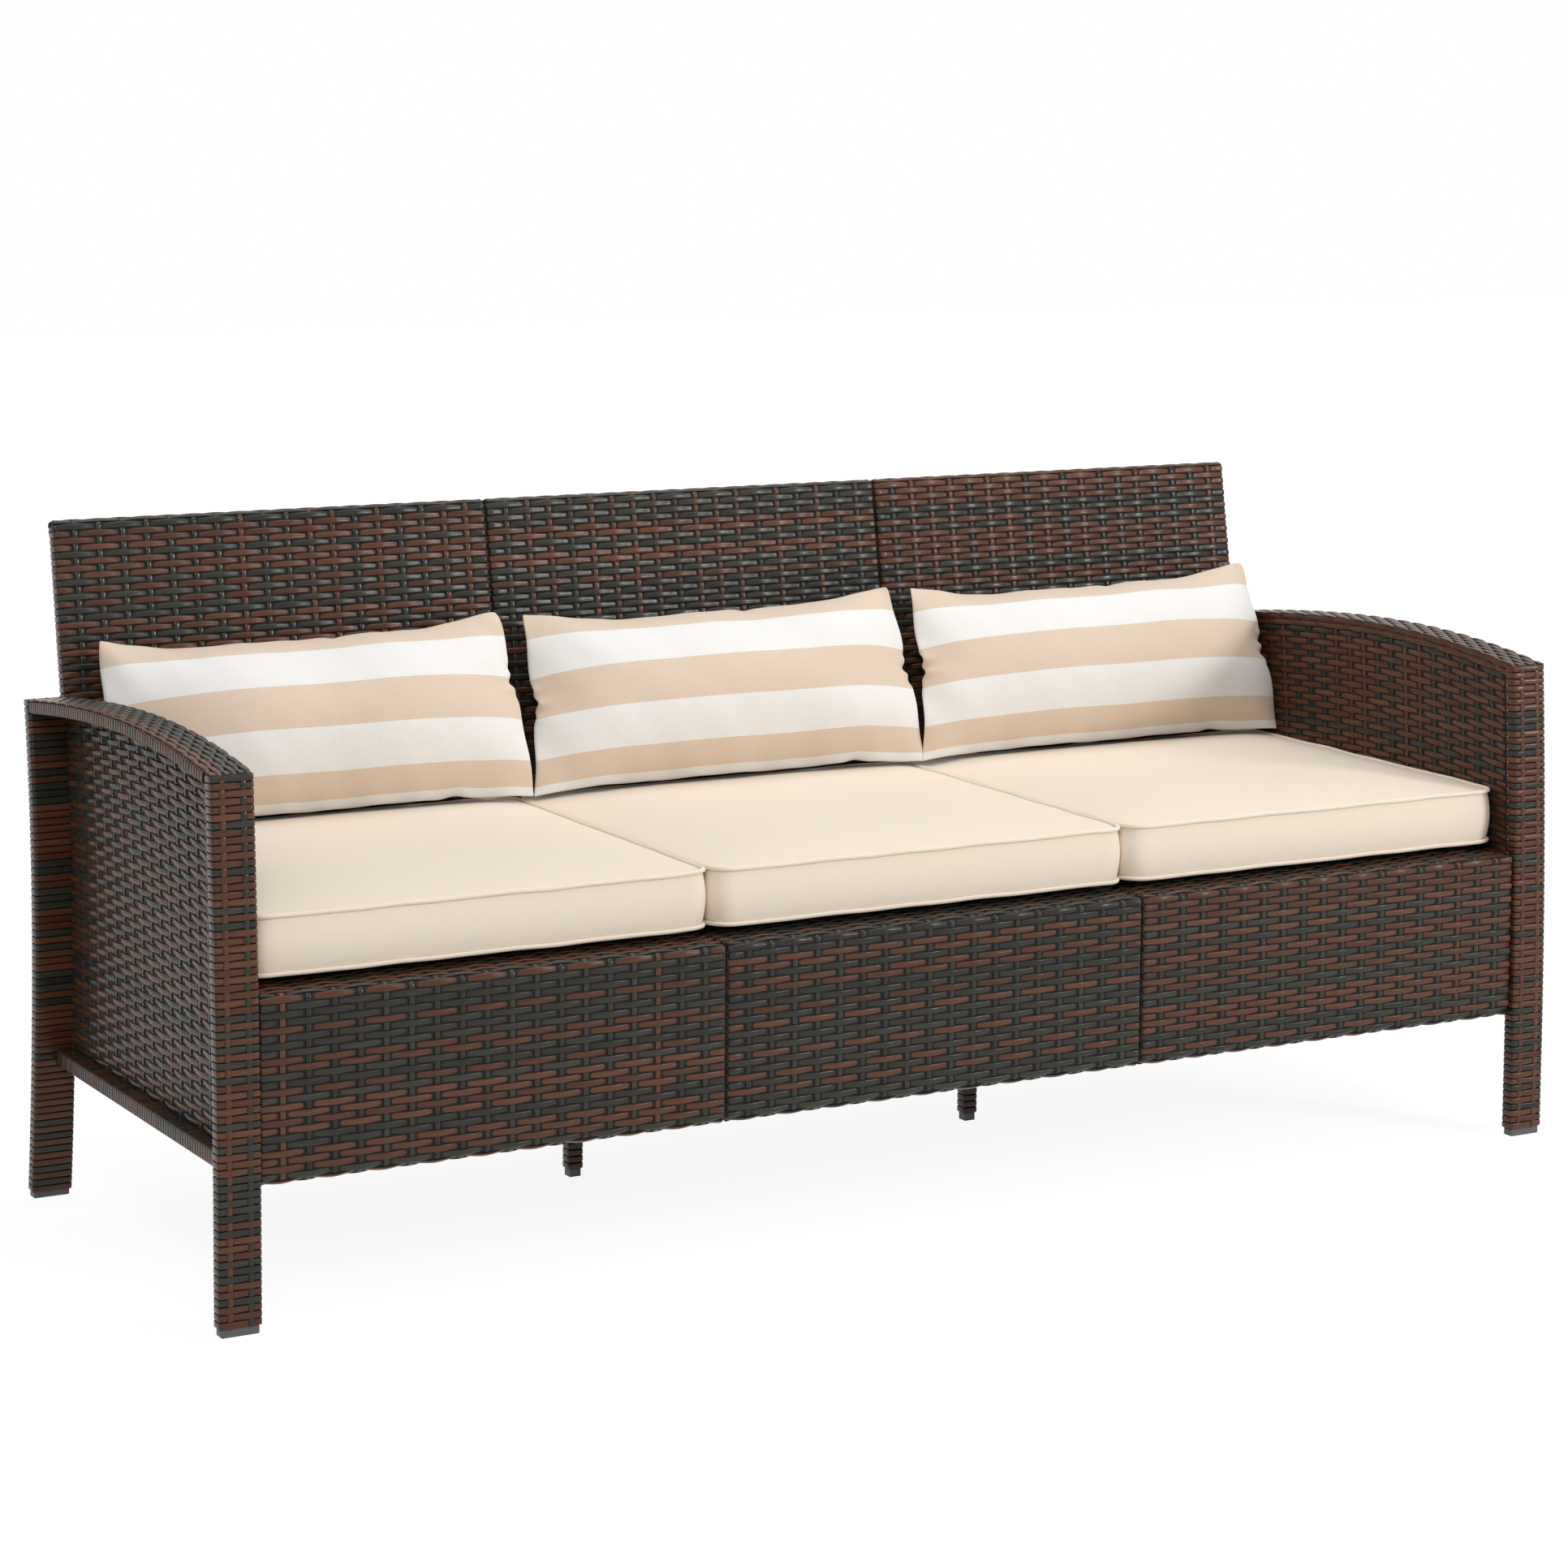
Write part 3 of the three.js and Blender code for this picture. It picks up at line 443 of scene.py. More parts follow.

# %% [markdown]
# ## A painted shade sheet behind the strands
#
# Real resin weave is dense, and what shows between two strands is shade. A thin dark film just under
# the strands paints that shade, and closes the view through the weave. It could be a plain box, but a
# box would stick out where the sheet bends, so it is an outline swept along the path of the weave. The
# cores of the wound bars, the arms and the tops of the backs are swept in the same way, as painted shade
# too.

# %% A painted shade sheet behind the strands
sweep_tree = Tree("Sweep", [("Path", "Object"), ("Outline", "Object"), ("Normal", "Vector"),
                            ("Centre", "Float"), ("Side", "Float")])
t = sweep_tree
path = t.add("GeometryNodeSetCurveNormal", {"Curve": t.shape("Path"), "Normal": t["Normal"]},
             mode="FREE")
swept = t.add("GeometryNodeCurveToMesh", {"Curve": path, "Profile Curve": t.shape("Outline"),
                                          "Fill Caps": True})
x, y, z = t.position()
moved = t.join_axes(t.plus(t["Centre"], t.times(x, t["Side"])), y, z)
t.finish_mirrored(t.move(swept, moved))

slab_tree = Tree("Flat slab", [("Across", "Float"), ("Up", "Float"), ("Thickness", "Float"),
                               ("Steps", "Int")])
t = slab_tree
size = t.join_axes(t["Across"], t["Up"], t["Thickness"])
slab = t.add("GeometryNodeMeshCube", {"Size": size, "Vertices X": t["Steps"], "Vertices Y": t["Steps"]})
corner = t.join_axes(t.over(t["Across"], 2.0), t.over(t["Up"], 2.0), 0.0)
t.finish(t.add("GeometryNodeSetPosition", {"Geometry": slab, "Offset": corner}))
print("backing trees ready")

# %% [markdown]
# ## Whole pieces from layers
#
# A woven piece is a few layers of strands, bent together, with one or more dark sheets of painted shade
# behind them. The outer tree of a piece is put together from the trees above, and shows all their
# inputs by name. One big tree for each kind of piece would do as well, but the same steps would stand
# in it again and again. The result is kept as a plain mesh, so that nothing has to be worked out again
# later.

# %% Whole pieces from layers
def compose(name, layers, bend, sweeps=(), slabs=()):
    parts = list(layers) + list(slabs) + list(sweeps)
    inputs = [(f"{label} {key}", kind) for label, tree in parts for key, kind in tree.kinds.items()]
    inputs += [(key, kind) for key, kind in bend.kinds.items() if key != "Geometry"]
    inputs += [("Strand material", "Material"), ("Backing material", "Material")]
    outer = Tree(name, inputs)

    def called(label, tree):
        return outer.call(tree, {key: outer[f"{label} {key}"] for key in tree.kinds})

    def bent(things):
        flat = outer.join(*(called(label, tree) for label, tree in things))
        return outer.call(bend, {"Geometry": flat, **{key: outer[key] for key in bend.kinds
                                                      if key != "Geometry"}})

    def coated(geometry, label):
        return outer.add("GeometryNodeSetMaterial", {"Geometry": geometry, "Material": outer[label]})

    done = [coated(bent(layers), "Strand material")]
    if slabs:
        done.append(coated(bent(slabs), "Backing material"))
    done += [coated(called(label, tree), "Backing material") for label, tree in sweeps]
    outer.finish(outer.add("GeometryNodeRealizeInstances", {"Geometry": outer.join(*done)}))
    return outer


def keep_result(thing):
    """Turn what the modifiers make of a thing into its plain mesh."""
    graph = bpy.context.evaluated_depsgraph_get()
    finished = bpy.data.meshes.new_from_object(thing.evaluated_get(graph))
    thing.modifiers.clear()
    thing.data = finished
    finished.shade_smooth()


def make_piece(name, tree, values):
    """Run a tree once and keep its result as a plain mesh."""
    thing = add_object(name, bpy.data.meshes.new(name))
    modifier = thing.modifiers.new(tree.graph.name, "NODES")
    modifier.node_group = tree.graph
    for label, value in values.items():
        kind = tree.kinds[label]
        modifier[tree.identifiers[label]] = float(value) if kind == "Float" else value
    bpy.context.view_layer.update()
    keep_result(thing)
    return thing


def stands_for(piece, *nodes):
    """A woven piece is part of the frame and is shown in place of its CAD forms."""
    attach(piece, "sofa_frame")
    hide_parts(*nodes)
    print(piece.name, len(piece.data.polygons), "faces")


def under(label, values):
    """Inputs of one layer, under the names that the outer tree gives them."""
    return {f"{label} {key}": value for key, value in values.items()}


def backed(label, path, outline, centre, side=1, normal=(1, 0, 0)):
    """Inputs of one dark sheet or core of painted shade."""
    return under(label, {"Path": path, "Outline": outline, "Normal": normal, "Centre": centre,
                         "Side": side})


sheet_tree = compose("Woven sheet", [("Rows", rows_tree), ("Edge", rows_tree), ("Warps", warps_tree)],
                     bend_tree, [("Film", sweep_tree), ("Core", sweep_tree)])
bar_tree = compose("Wrapped bar", [("Rows", rows_tree), ("Warps", warps_tree)], bend_tree,
                   [("Core", sweep_tree)])
arm_tree = compose("Woven arm", [("Ribs", rows_tree), ("Top", warps_tree), ("Side", warps_tree)],
                   bend_tree, [("Core", sweep_tree)])
panel_tree = compose("Woven panel", [("Rows", rows_tree), ("Warps", warps_tree)], patch_tree,
                     slabs=[("Film", slab_tree)])
print("outer trees:", [tree.graph.name for tree in (sheet_tree, bar_tree, arm_tree, panel_tree)])

# %% [markdown]
# ## A short way to write materials
#
# Pictures could give resin and cloth their colours, but nodes stay sharp at every distance and need no
# files. These helpers read a colour code, start a material with one plain surface, and add its other
# nodes line by line.

# %% A short way to write materials
def srgb(text):
    """A colour written as six hexadecimal digits, in the linear values that the shader wants."""
    def channel(value):
        value /= 255
        return value / 12.92 if value <= 0.04045 else ((value + 0.055) / 1.055) ** 2.4
    return (*(channel(int(text[i:i + 2], 16)) for i in (0, 2, 4)), 1)


class Shade(Nodes):
    """The nodes of a material."""

    def value(self, name):
        return self.add("ShaderNodeAttribute", out="Fac", attribute_name=name)

    def spread(self, value, low, high, to_low=0.0, to_high=1.0):
        return self.add("ShaderNodeMapRange", {0: value, 1: low, 2: high, 3: to_low, 4: to_high})

    def mix(self, share, first, second):
        return self.add("ShaderNodeMix", {0: share, 6: first, 7: second}, out=2, data_type="RGBA")

    def bump(self, shader, height, strength, distance):
        bump = self.add("ShaderNodeBump", {"Strength": strength, "Distance": distance,
                                           "Height": height}, out="Normal")
        self.fill(shader.inputs["Normal"], bump)


def new_material(name, colour, rough, settings=()):
    """A material with one plain surface. Gives the material, its nodes and its shader."""
    material = bpy.data.materials.new(name)
    material.use_nodes = True
    shader = material.node_tree.nodes["Principled BSDF"]
    shader.inputs["Base Color"].default_value = srgb(colour)
    shader.inputs["Roughness"].default_value = rough
    for key, value in dict(settings).items():
        shader.inputs[key].default_value = value
    return material, Shade(material.node_tree), shader


print("material helpers ready")

# %% [markdown]
# ## The woven resin
#
# Resin strand is pressed through a die, which leaves fine grooves along it and a waxy shine. The
# grooves could be modelled, but they are finer than any mesh of this size can hold, so they are a bump.
# The rounded rim of a strand is dull, and its colour is darkened there as painted shade, the shade
# between strands. The dark sheet behind the strands is nearly black, as painted shade.

# %% The woven resin
GROOVE, SHADED_RIM_START, SHADED_RIM_END = 0.0019, 0.0027, 0.0037
resin, s, shader = new_material("woven_resin", "5c3a2c", 0.42, {"Specular IOR Level": 0.26})
tone, shade, along, across = (s.value(name) for name in ("tone", "shade", "along", "across"))
grain = s.add("ShaderNodeCombineXYZ", {0: s.times(along, 30.0), 1: s.times(across, 900.0),
                                       2: s.times(shade, 60.0)})
streak = s.add("ShaderNodeTexNoise", {"Vector": grain, "Scale": 1.0, "Detail": 3.0})
dark = s.mix(shade, srgb("27251f"), srgb("37342b"))
brown = s.mix(shade, srgb("4a2918"), srgb("5f3a26"))
# The rim of each strand is darkened to a quarter of its colour, as painted shade between strands.
shaded_rim = s.spread(s.math("ABSOLUTE", across), SHADED_RIM_START, SHADED_RIM_END)
light = s.times(s.spread(streak, 0.3, 0.7, 0.72, 1.28), s.spread(shaded_rim, 0.0, 1.0, 1.0, 0.25))
tinted = s.add("ShaderNodeVectorMath", {0: s.mix(tone, dark, brown), "Scale": light}, operation="SCALE")
s.fill(shader.inputs["Base Color"], tinted)
groove = s.times(s.math("SINE", s.times(across, 2 * math.pi / GROOVE)),
                 s.plus(s.times(tone, 0.2), 0.2))
s.bump(shader, s.plus(groove, streak), 0.5, 0.00025)
rough = s.plus(s.spread(streak, 0.3, 0.7, 0.27, 0.19), s.times(shaded_rim, 0.4))
s.fill(shader.inputs["Roughness"], rough)
# Nearly black painted shade, for the films and cores behind the strands.
painted_shade, _, _ = new_material("weave_shadow", "100d0b", 0.9)
print("materials:", resin.name, painted_shade.name)

# %% [markdown]
# ## Steel, zinc and plastic
#
# The frames are coated steel, the bolts are zinc plated and the feet have caps of grey plastic. These
# pieces keep their CAD meshes, so they only need a surface with a fine grain.

# %% Steel, zinc and plastic
def grained(name, colour, rough, size, depth, settings=()):
    """A plain surface with a fine cast or sprayed grain."""
    material, s, shader = new_material(name, colour, rough, settings)
    where = s.add("ShaderNodeTexCoord", out="Object")
    grain = s.add("ShaderNodeTexNoise", {"Vector": where, "Scale": 1 / size, "Detail": 2.0})
    s.bump(shader, grain, 0.4, depth)
    s.fill(shader.inputs["Roughness"], s.spread(grain, 0.3, 0.7, rough - 0.06, rough + 0.06))
    return material


steel = grained("black_coated_steel", "1c1c1c", 0.45, 0.0012, 0.0001)
plastic = grained("grey_plastic", "565656", 0.5, 0.0008, 0.00008)
zinc = grained("zinc_plated_steel", "b4b4ae", 0.35, 0.002, 0.00005, {"Metallic": 1.0})
COATS = {"_frame": steel, "support_leg": steel, "_cap": plastic, "_bolt": zinc}
for name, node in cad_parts.items():
    for words, coat in COATS.items():
        if words in name:
            node.data.materials.clear()
            node.data.materials.append(coat)
print("materials:", [m.name for m in bpy.data.materials])

# %% [markdown]
# ## Guides for a flat sheet
#
# The backs, the aprons and the decks are sheets of the same width, so they share their guides and
# their numbers. The guide of a row has a point at every quarter of the distance between two uprights.
# More points would be smoother but heavier, and four are enough for a smooth wave. The ends of the
# guide turn back round the side edges of the sheet, as a real strand does.

# %% Guides for a flat sheet
FIRST_WARP, FLAT_WARPS = -8.5 * WARP_PITCH, 18
FILM, REAR_CORNER = 0.2, 3


def flat_row(half, inward, depth, corner, steps=4):
    """Across a face, with both ends turned back by depth and then inward. In metres, x and height."""
    end = half - corner
    stations = [i * WARP_PITCH / steps for i in range(-40 * steps, 40 * steps)]
    offset = FIRST_WARP % (WARP_PITCH / steps)
    flat = [(x + offset, 0) for x in stations if abs(x + offset) < end - 1]
    turned = arc((end, -corner), corner, 90, 0, 3)
    if depth > 0:
        turned += arc((half - REAR_CORNER, REAR_CORNER - depth), REAR_CORNER, 0, -90, 3)
        turned.append((half - inward, -depth))
    left = [(-x, n) for x, n in reversed(turned)]
    return [(x * MM, 0, n * MM) for x, n in left + flat + turned]


def film_guide(name, line):
    """The closed and very thin outline of a film along an open line."""
    front = [(x, -n) for x, _, n in line]
    back = []
    for i, (x, n) in enumerate(front):
        ahead = front[min(i + 1, len(front) - 1)]
        behind = front[max(i - 1, 0)]
        run = Vector((ahead[0] - behind[0], ahead[1] - behind[1])).normalized()
        back.append((x - run.y * FILM * MM, n + run.x * FILM * MM))
    return guide(name, [[(x, y, 0) for x, y in front + back[::-1]]], closed=True)


def line_length(points):
    return sum((Vector(b) - Vector(a)).length for a, b in zip(points, points[1:]))


row_values = {"Section": flat_strand, "First row": 0, "Row pitch": ROW_PITCH * MM, "Row lift": 1.5 * MM,
              "Warp pitch": WARP_PITCH * MM, "First warp": FIRST_WARP * MM, "Pinch": 0.045}
warp_values = {"Section": slim_strand, "Start": 0.0, "Row pitch": ROW_PITCH * MM,
               "First place": (FIRST_WARP * MM, 0, 0), "Place step": (WARP_PITCH * MM, 0, 0),
               "Warps": FLAT_WARPS, "Lift direction": (0, 0, 1), "Warp lift": 0.75 * MM, "Period": 2.0,
               "Dip power": 1.0, "Stagger": 0.5, "Width direction": (1, 0, 0), "Narrowing": 0.0}
resin_values = {"Strand material": resin, "Backing material": painted_shade}


def on_path(path, centre, side=1):
    """Inputs for the bend of a piece, and its materials."""
    return {"Path guide": path, "Centre": centre, "Side": side, **resin_values}


def sheet_values(look, centre, path, row, film_path, film, rows, length, **both):
    """Inputs of a sheet. look has the share of brown and the seed of its rows, then of its uprights."""
    share, seed, warp_share, warp_seed = look
    both["Row pitch"] = length / rows
    return {
        **under("Rows", {**row_values, "Row guide": row, "Rows": rows, "Row brown share": share,
                         "Row seed": seed, **both}),
        **under("Warps", {**warp_values, "Length": length, "Warp brown share": warp_share,
                          "Warp seed": warp_seed, **both}),
        **backed("Film", film_path, film, centre), **on_path(path, centre)}


print("uprights in a sheet:", FLAT_WARPS)

# %% [markdown]
# ## The three backs
#
# Each back is a leaning board with a woven face over a steel ring. Its rows turn round the side edges
# and a little way in behind, and its uprights go over the top. The three could be copies of one mesh,
# but on the real sofa no two backs have the same order of brown and dark rows, so each gets a seed of
# its own.

# %% The three backs
SEAT_STEP = 0.5675
LEAN, FACE_Y, FACE_Z, BACK_RISE = math.atan(0.17), 575.7, 365.3, 449.05
BACK_ROWS, TOP_ROWS = 53, 4


def on_back(depth, rise):
    """A point of the leaning back, from its depth behind the face and its height up the slope."""
    return place(0, FACE_Y + depth * math.cos(LEAN) + rise * math.sin(LEAN),
                 FACE_Z - depth * math.sin(LEAN) + rise * math.cos(LEAN))


# The path goes up the face, over the rounded top and a little way down behind it.
back_line = [(2.2, 0.4 + i * 440 / 8) for i in range(9)]
back_line += arc((8.2, BACK_RISE - 7.2), 6, 180, 90, 4)
back_line += arc((14.8, BACK_RISE - 7.2), 6, 90, 0, 4) + [(20.8, BACK_RISE - 19)]
back_path = guide("back_path", [[on_back(*point) for point in back_line]])
back_film_path = guide("back_film_path", [[on_back(2.2, 0.4), on_back(2.2, BACK_RISE - 7)]])
back_row = guide("back_row", [flat_row(281.0, 18, 18.6, 2.6)])
edge_row = guide("edge_row", [flat_row(281.0, 0, 0, 1)])
back_film = film_guide("back_film", flat_row(280.8, 18, 18.4, 2.6, steps=1))
cross_line = guide("cross_line", [[(-0.2805, 0, 0), (0.2805, 0, 0)]])
# A core of painted shade, in the nearly black material, fills the top edge, under the uprights that go
# over it.
top_core = [(3, BACK_RISE - 10)] + arc((7.5, BACK_RISE - 7), 4.5, 180, 90, 3)
top_core += arc((15.5, BACK_RISE - 7), 4.5, 90, 0, 3) + [(20, BACK_RISE - 19), (3, BACK_RISE - 19)]
core_points = [on_back(*point) for point in top_core]
back_core = guide("back_core", [[(y, z, 0) for _, y, z in core_points]], closed=True)
# For each back: the share of brown rows and their seed, then the same for the uprights.
looks = {"left": (0.66, 11, 0.5, 5), "middle": (0.42, 23, 0.5, 6), "right": (0.6, 35, 0.6, 7)}

for name, place_number in PLACES.items():
    centre = place_number * SEAT_STEP
    share, seed, _, _ = looks[name]
    values = sheet_values(looks[name], centre, back_path, back_row, back_film_path, back_film,
                          BACK_ROWS, BACK_ROWS * ROW_PITCH * MM)
    values["Warps Length"] = (BACK_ROWS + TOP_ROWS) * ROW_PITCH * MM
    values |= under("Edge", {**row_values, "Row guide": edge_row, "First row": BACK_ROWS,
                             "Rows": TOP_ROWS, "Row lift": 0.7 * MM, "Row brown share": share,
                             "Row seed": seed})
    values |= backed("Core", cross_line, back_core, centre, normal=(0, 1, 0))
    woven = make_piece(f"woven_back_{name}", sheet_tree, values)
    stands_for(woven, f"back_weave_{name}")

# %% [markdown]
# ## Aprons and decks
#
# The apron hangs from the top bar of a seat and is wrapped round a lower bar, so its path rises from
# under the lower bar, goes up the front and rolls over the top. The same weave with another path gives
# it, and needs no new tree. The deck under the cushion is a flat sheet. It is hidden from most sides,
# so its strands have plainer sections, which keeps the mesh light.

# %% Aprons and decks
APRON_OUT, APRON_TOP, DECK_LENGTH = 8.8, 362.9, 578 * MM
# The path starts under the lower bar, goes up the front and ends on top of the seat.
apron_line = arc((19, 167.8), 10.2, 0, -180, 8) + [(APRON_OUT, z) for z in (215, 260, 305)]
apron_line += arc((14.5, 357.2), 5.7, 180, 90, 5) + [(19, APRON_TOP)]
apron_points = [place(0, y, z) for y, z in apron_line]
apron_path = guide("apron_path", [apron_points])
apron_row = guide("apron_row", [flat_row(280.9, 3, 9.5, 2.6)])
apron_film = film_guide("apron_film", flat_row(280.6, 3, 9.2, 2.6, steps=1))
apron_length = line_length(apron_points)
deck_path = guide("deck_path", [[place(0, y, APRON_TOP) for y in (19.6, 200, 400, 597.6)]])
deck_row = guide("deck_row", [flat_row(281.0, 0, 0, 1, steps=2)])
deck_film = film_guide("deck_film", flat_row(280.9, 0, 0, 1, steps=1))
apron_rows, deck_rows = (round(length / (ROW_PITCH * MM)) for length in (apron_length, DECK_LENGTH))
looks = {"left": (0.42, 52, 0.2, 15), "middle": (0.4, 64, 0.1, 16), "right": (0.5, 77, 0.1, 17)}

for name, place_number in PLACES.items():
    centre = place_number * SEAT_STEP
    values = sheet_values(looks[name], centre, apron_path, apron_row, apron_path, apron_film,
                          apron_rows, apron_length)
    stands_for(make_piece(f"woven_apron_{name}", sheet_tree, values), f"apron_weave_{name}")
    values = sheet_values(looks[name], centre, deck_path, deck_row, deck_path, deck_film,
                          deck_rows, DECK_LENGTH, Section=plain_strand)
    stands_for(make_piece(f"woven_deck_{name}", sheet_tree, values), f"seat_deck_weave_{name}")

# %% [markdown]
# ## The wound legs
#
# A leg is a flat tube with one strand wound round it. The winding could be one long spiral, but a turn
# climbs only by its own width, so closed rings look the same and have no ends to hide. Two uprights
# run down the outer face, and the winding goes over one and under the other. A nearly black core of
# painted shade fills the bar between the turns.

# %% The wound legs
def ring(half, depth, corner, face=(), inset=0.0):
    """A closed ring round a bar, with extra points on its face for the wave."""
    top, low, edge = -inset, -depth + inset, half - inset
    points = [(x, top) for x in face]
    points += arc((edge - corner, top - corner), corner, 90, 0, 3)
    points += arc((edge - corner, low + corner), corner, 0, -90, 3)
    points += arc((corner - edge, low + corner), corner, -90, -180, 3)
    points += arc((corner - edge, top - corner), corner, 180, 90, 3)
    return points


def ring_guides(name, half, depth, corner=2.5, face=()):
    """The ring of a bar, and the outline of its core, which is smaller by 1 mm all round."""
    outside, inside = ring(half, depth, corner, face), ring(half, depth, corner, (), 1.0)
    return (guide(name + "_ring", [[(x * MM, 0, n * MM) for x, n in outside]], closed=True),
            guide(name + "_core", [[(x * MM, -n * MM, 0) for x, n in reversed(inside)]], closed=True))


bar_rows = {"Section": flat_strand, "First row": 0, "Row lift": 0.8 * MM, "Warp pitch": 24 * MM,
            "First warp": -12 * MM, "Pinch": 0.03}
bar_warps = {**warp_values, "Length": 590 * MM, "First place": (-12 * MM, 0, 0),
             "Place step": (24 * MM, 0, 0), "Warp lift": 0.8 * MM, "Warp brown share": 0.5}


def bar_values(centre, path, row, core, rows, length, share, seed, warps=0, changes=()):
    """Inputs of a wound bar. changes holds what its rows do differently."""
    pitch = length / rows
    return {
        **under("Rows", {**bar_rows, "Row guide": row, "Rows": rows, "Row pitch": pitch,
                         "Row brown share": share, "Row seed": seed, **dict(changes)}),
        **under("Warps", {**bar_warps, "Warps": warps, "Row pitch": pitch, "Warp seed": seed + 3}),
        **backed("Core", path, core, centre), **on_path(path, centre)}


# A strand lies LEG_OUT in front of the middle of the tube, and the winding starts above the foot cap.
ARM_CENTRE, LEG_FOOT, LEG_ROWS, LEG_OUT = 0.87525, 9.3, 72, 8.85
FRONT_TOP, REAR_TOP = 604, 600.4


def leg_heights(top):
    return [LEG_FOOT + i * (top - LEG_FOOT) / 16 for i in range(17)]


leg_ring, leg_core = ring_guides("leg", 23.6, 17.7, face=range(-20, 21, 4))
front_line = [place(0, front_leg_y(z) - LEG_OUT, z) for z in leg_heights(FRONT_TOP)]
rear_line = [place(0, rear_leg_y(z) + LEG_OUT, z) for z in reversed(leg_heights(REAR_TOP))]
legs = (("front", front_line, guide("front_path", [front_line]), 82),
        ("rear", rear_line, guide("rear_path", [rear_line]), 91))
for name, side in SIDES.items():
    for end, line, path, seed in legs:
        values = bar_values(side * ARM_CENTRE, path, leg_ring, leg_core, LEG_ROWS,
                            line_length(line), 0.7, seed + side, warps=2)
        stands_for(make_piece(f"wrapped_{end}_leg_{name}", bar_tree, values), f"{end}_leg_wrap_{name}")

# %% [markdown]
# ## Rails and thin legs
#
# The lower rail of an arm and the two thin legs under the seams are wound in the same way, but without
# uprights, so the tree of the legs is used again with none. Their guides are straight lines with the
# length of the CAD form, and hold a whole number of turns, so that no turn is cut at the end.

# %% Rails and thin legs
UNDER_STRAND, RAIL_PITCH = 0.00115, 7.5 * MM
rail_ring, rail_core = ring_guides("rail", 11.35, 16.7)
rail_low, rail_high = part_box("side_rail_wrap_right")
rail_places = (rail_low.y, (rail_low.y + rail_high.y) / 2, rail_high.y)
rail_line = [(0, y, rail_high.z - UNDER_STRAND) for y in rail_places]
rail_path = guide("rail_path", [rail_line])
rail_length = line_length(rail_line)
support_ring, support_core = ring_guides("support", 8.85, 17.7, 2)
for name, side in SIDES.items():
    low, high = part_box(f"side_rail_wrap_{name}")
    values = bar_values((low.x + high.x) / 2, rail_path, rail_ring, rail_core,
                        round(rail_length / RAIL_PITCH), rail_length, 0.6, 101 + side,
                        changes={"Row lift": 0.0, "Section": slim_strand})
    stands_for(make_piece(f"wrapped_rail_{name}", bar_tree, values), f"side_rail_wrap_{name}")
    low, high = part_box(f"support_wrap_{name}")
    path = guide(f"support_path_{name}", [[(0, low.y + UNDER_STRAND, z) for z in (low.z, high.z)]])
    length = high.z - low.z
    values = bar_values((low.x + high.x) / 2, path, support_ring, support_core,
                        round(length / (ROW_PITCH * MM)), length, 0.5, 111 + side,
                        changes={"Row lift": 0.0})
    stands_for(make_piece(f"wrapped_support_{name}", bar_tree, values), f"support_wrap_{name}")

# %% [markdown]
# ## The arms
#
# The arm is wound crosswise with thick strands, which show as upright ribs on its outer side. On top,
# six long strands cover them and dip under one rib in four. On the inner side two long strands carry
# on the rows of the panel below them. The left arm is the right one mirrored: the tree turns the sign
# of x and then turns the faces outward again, which a negative scale on the object would not do.

# %% The arms
RIB_PITCH, RIB_DROP, RIB_START = 7.8 * MM, 3.6, 21.5 * MM
ARM_HALF, INNER_RIB, INNER_CORE = 23.35, -21.4, -20.6
rib_strand = strand_section("rib_strand", 6.9, 2.8)
# The ribs lie RIB_DROP under the long strands, and start where the legs end.
arm_line = [place(0, y, arm_top_z(y)) for y in
            (ARM_START + (ARM_END - ARM_START) * i / 40 for i in range(41))]
arm_path = guide("arm_path", [arm_line])
arm_core_path = guide("arm_core_path", [arm_line[1:-1]])
arm_length = line_length(arm_line)
arm_ring = guide("arm_ring", [[(max(x, INNER_RIB) * MM, 0, (n - RIB_DROP) * MM)
                               for x, n in ring(ARM_HALF, 13.2, 3.2)]], closed=True)
# The core of the arm is nearly black painted shade under the ribs.
arm_core = guide("arm_core", [[(max(x, INNER_CORE) * MM, (RIB_DROP - n) * MM, 0)
                               for x, n in reversed(ring(ARM_HALF, 14.8, 3.2, (), 1.1))]], closed=True)
first_rib = math.ceil(RIB_START / RIB_PITCH - 0.5)
rib_count = math.floor((arm_length - RIB_START) / RIB_PITCH - 0.5) - first_rib + 1
long_strand = {"Section": flat_strand, "Start": 1.5 * MM, "Length": arm_length - 3 * MM,
               "Row pitch": RIB_PITCH, "Stagger": 0.5, "Narrowing": 0.2}
top_strands = {**long_strand, "First place": (-20.4 * MM, 0, -2.0 * MM), "Place step": (8.15 * MM, 0, 0),
               "Warps": 6, "Lift direction": (0, 0, 1), "Warp lift": 0.65 * MM, "Period": 4.0,
               "Dip power": 3.0, "Width direction": (1, 0, 0), "Warp brown share": 0.5}
side_strands = {**long_strand, "First place": (-22.6 * MM, 0, -5.0 * MM),
                "Place step": (0, 0, -8.8 * MM), "Warps": 2, "Lift direction": (-1, 0, 0),
                "Warp lift": 1.0 * MM, "Period": 8.0, "Dip power": 5.0, "Width direction": (0, 0, 1),
                "Warp brown share": 1.0}
ribs = {**bar_rows, "Section": rib_strand, "Row guide": arm_ring, "First row": first_rib,
        "Rows": rib_count, "Row pitch": RIB_PITCH, "Row lift": 0.0, "Row brown share": 0.85}
for name, side in SIDES.items():
    centre = side * ARM_CENTRE
    values = {**under("Ribs", {**ribs, "Row seed": 121 + side}),
              **under("Top", {**top_strands, "Warp seed": 131 + side}),
              **under("Side", {**side_strands, "Warp seed": 141 + side}),
              **backed("Core", arm_core_path, arm_core, centre, side),
              **on_path(arm_path, centre, side)}
    stands_for(make_piece(f"woven_arm_{name}", arm_tree, values), f"arm_wrap_{name}")

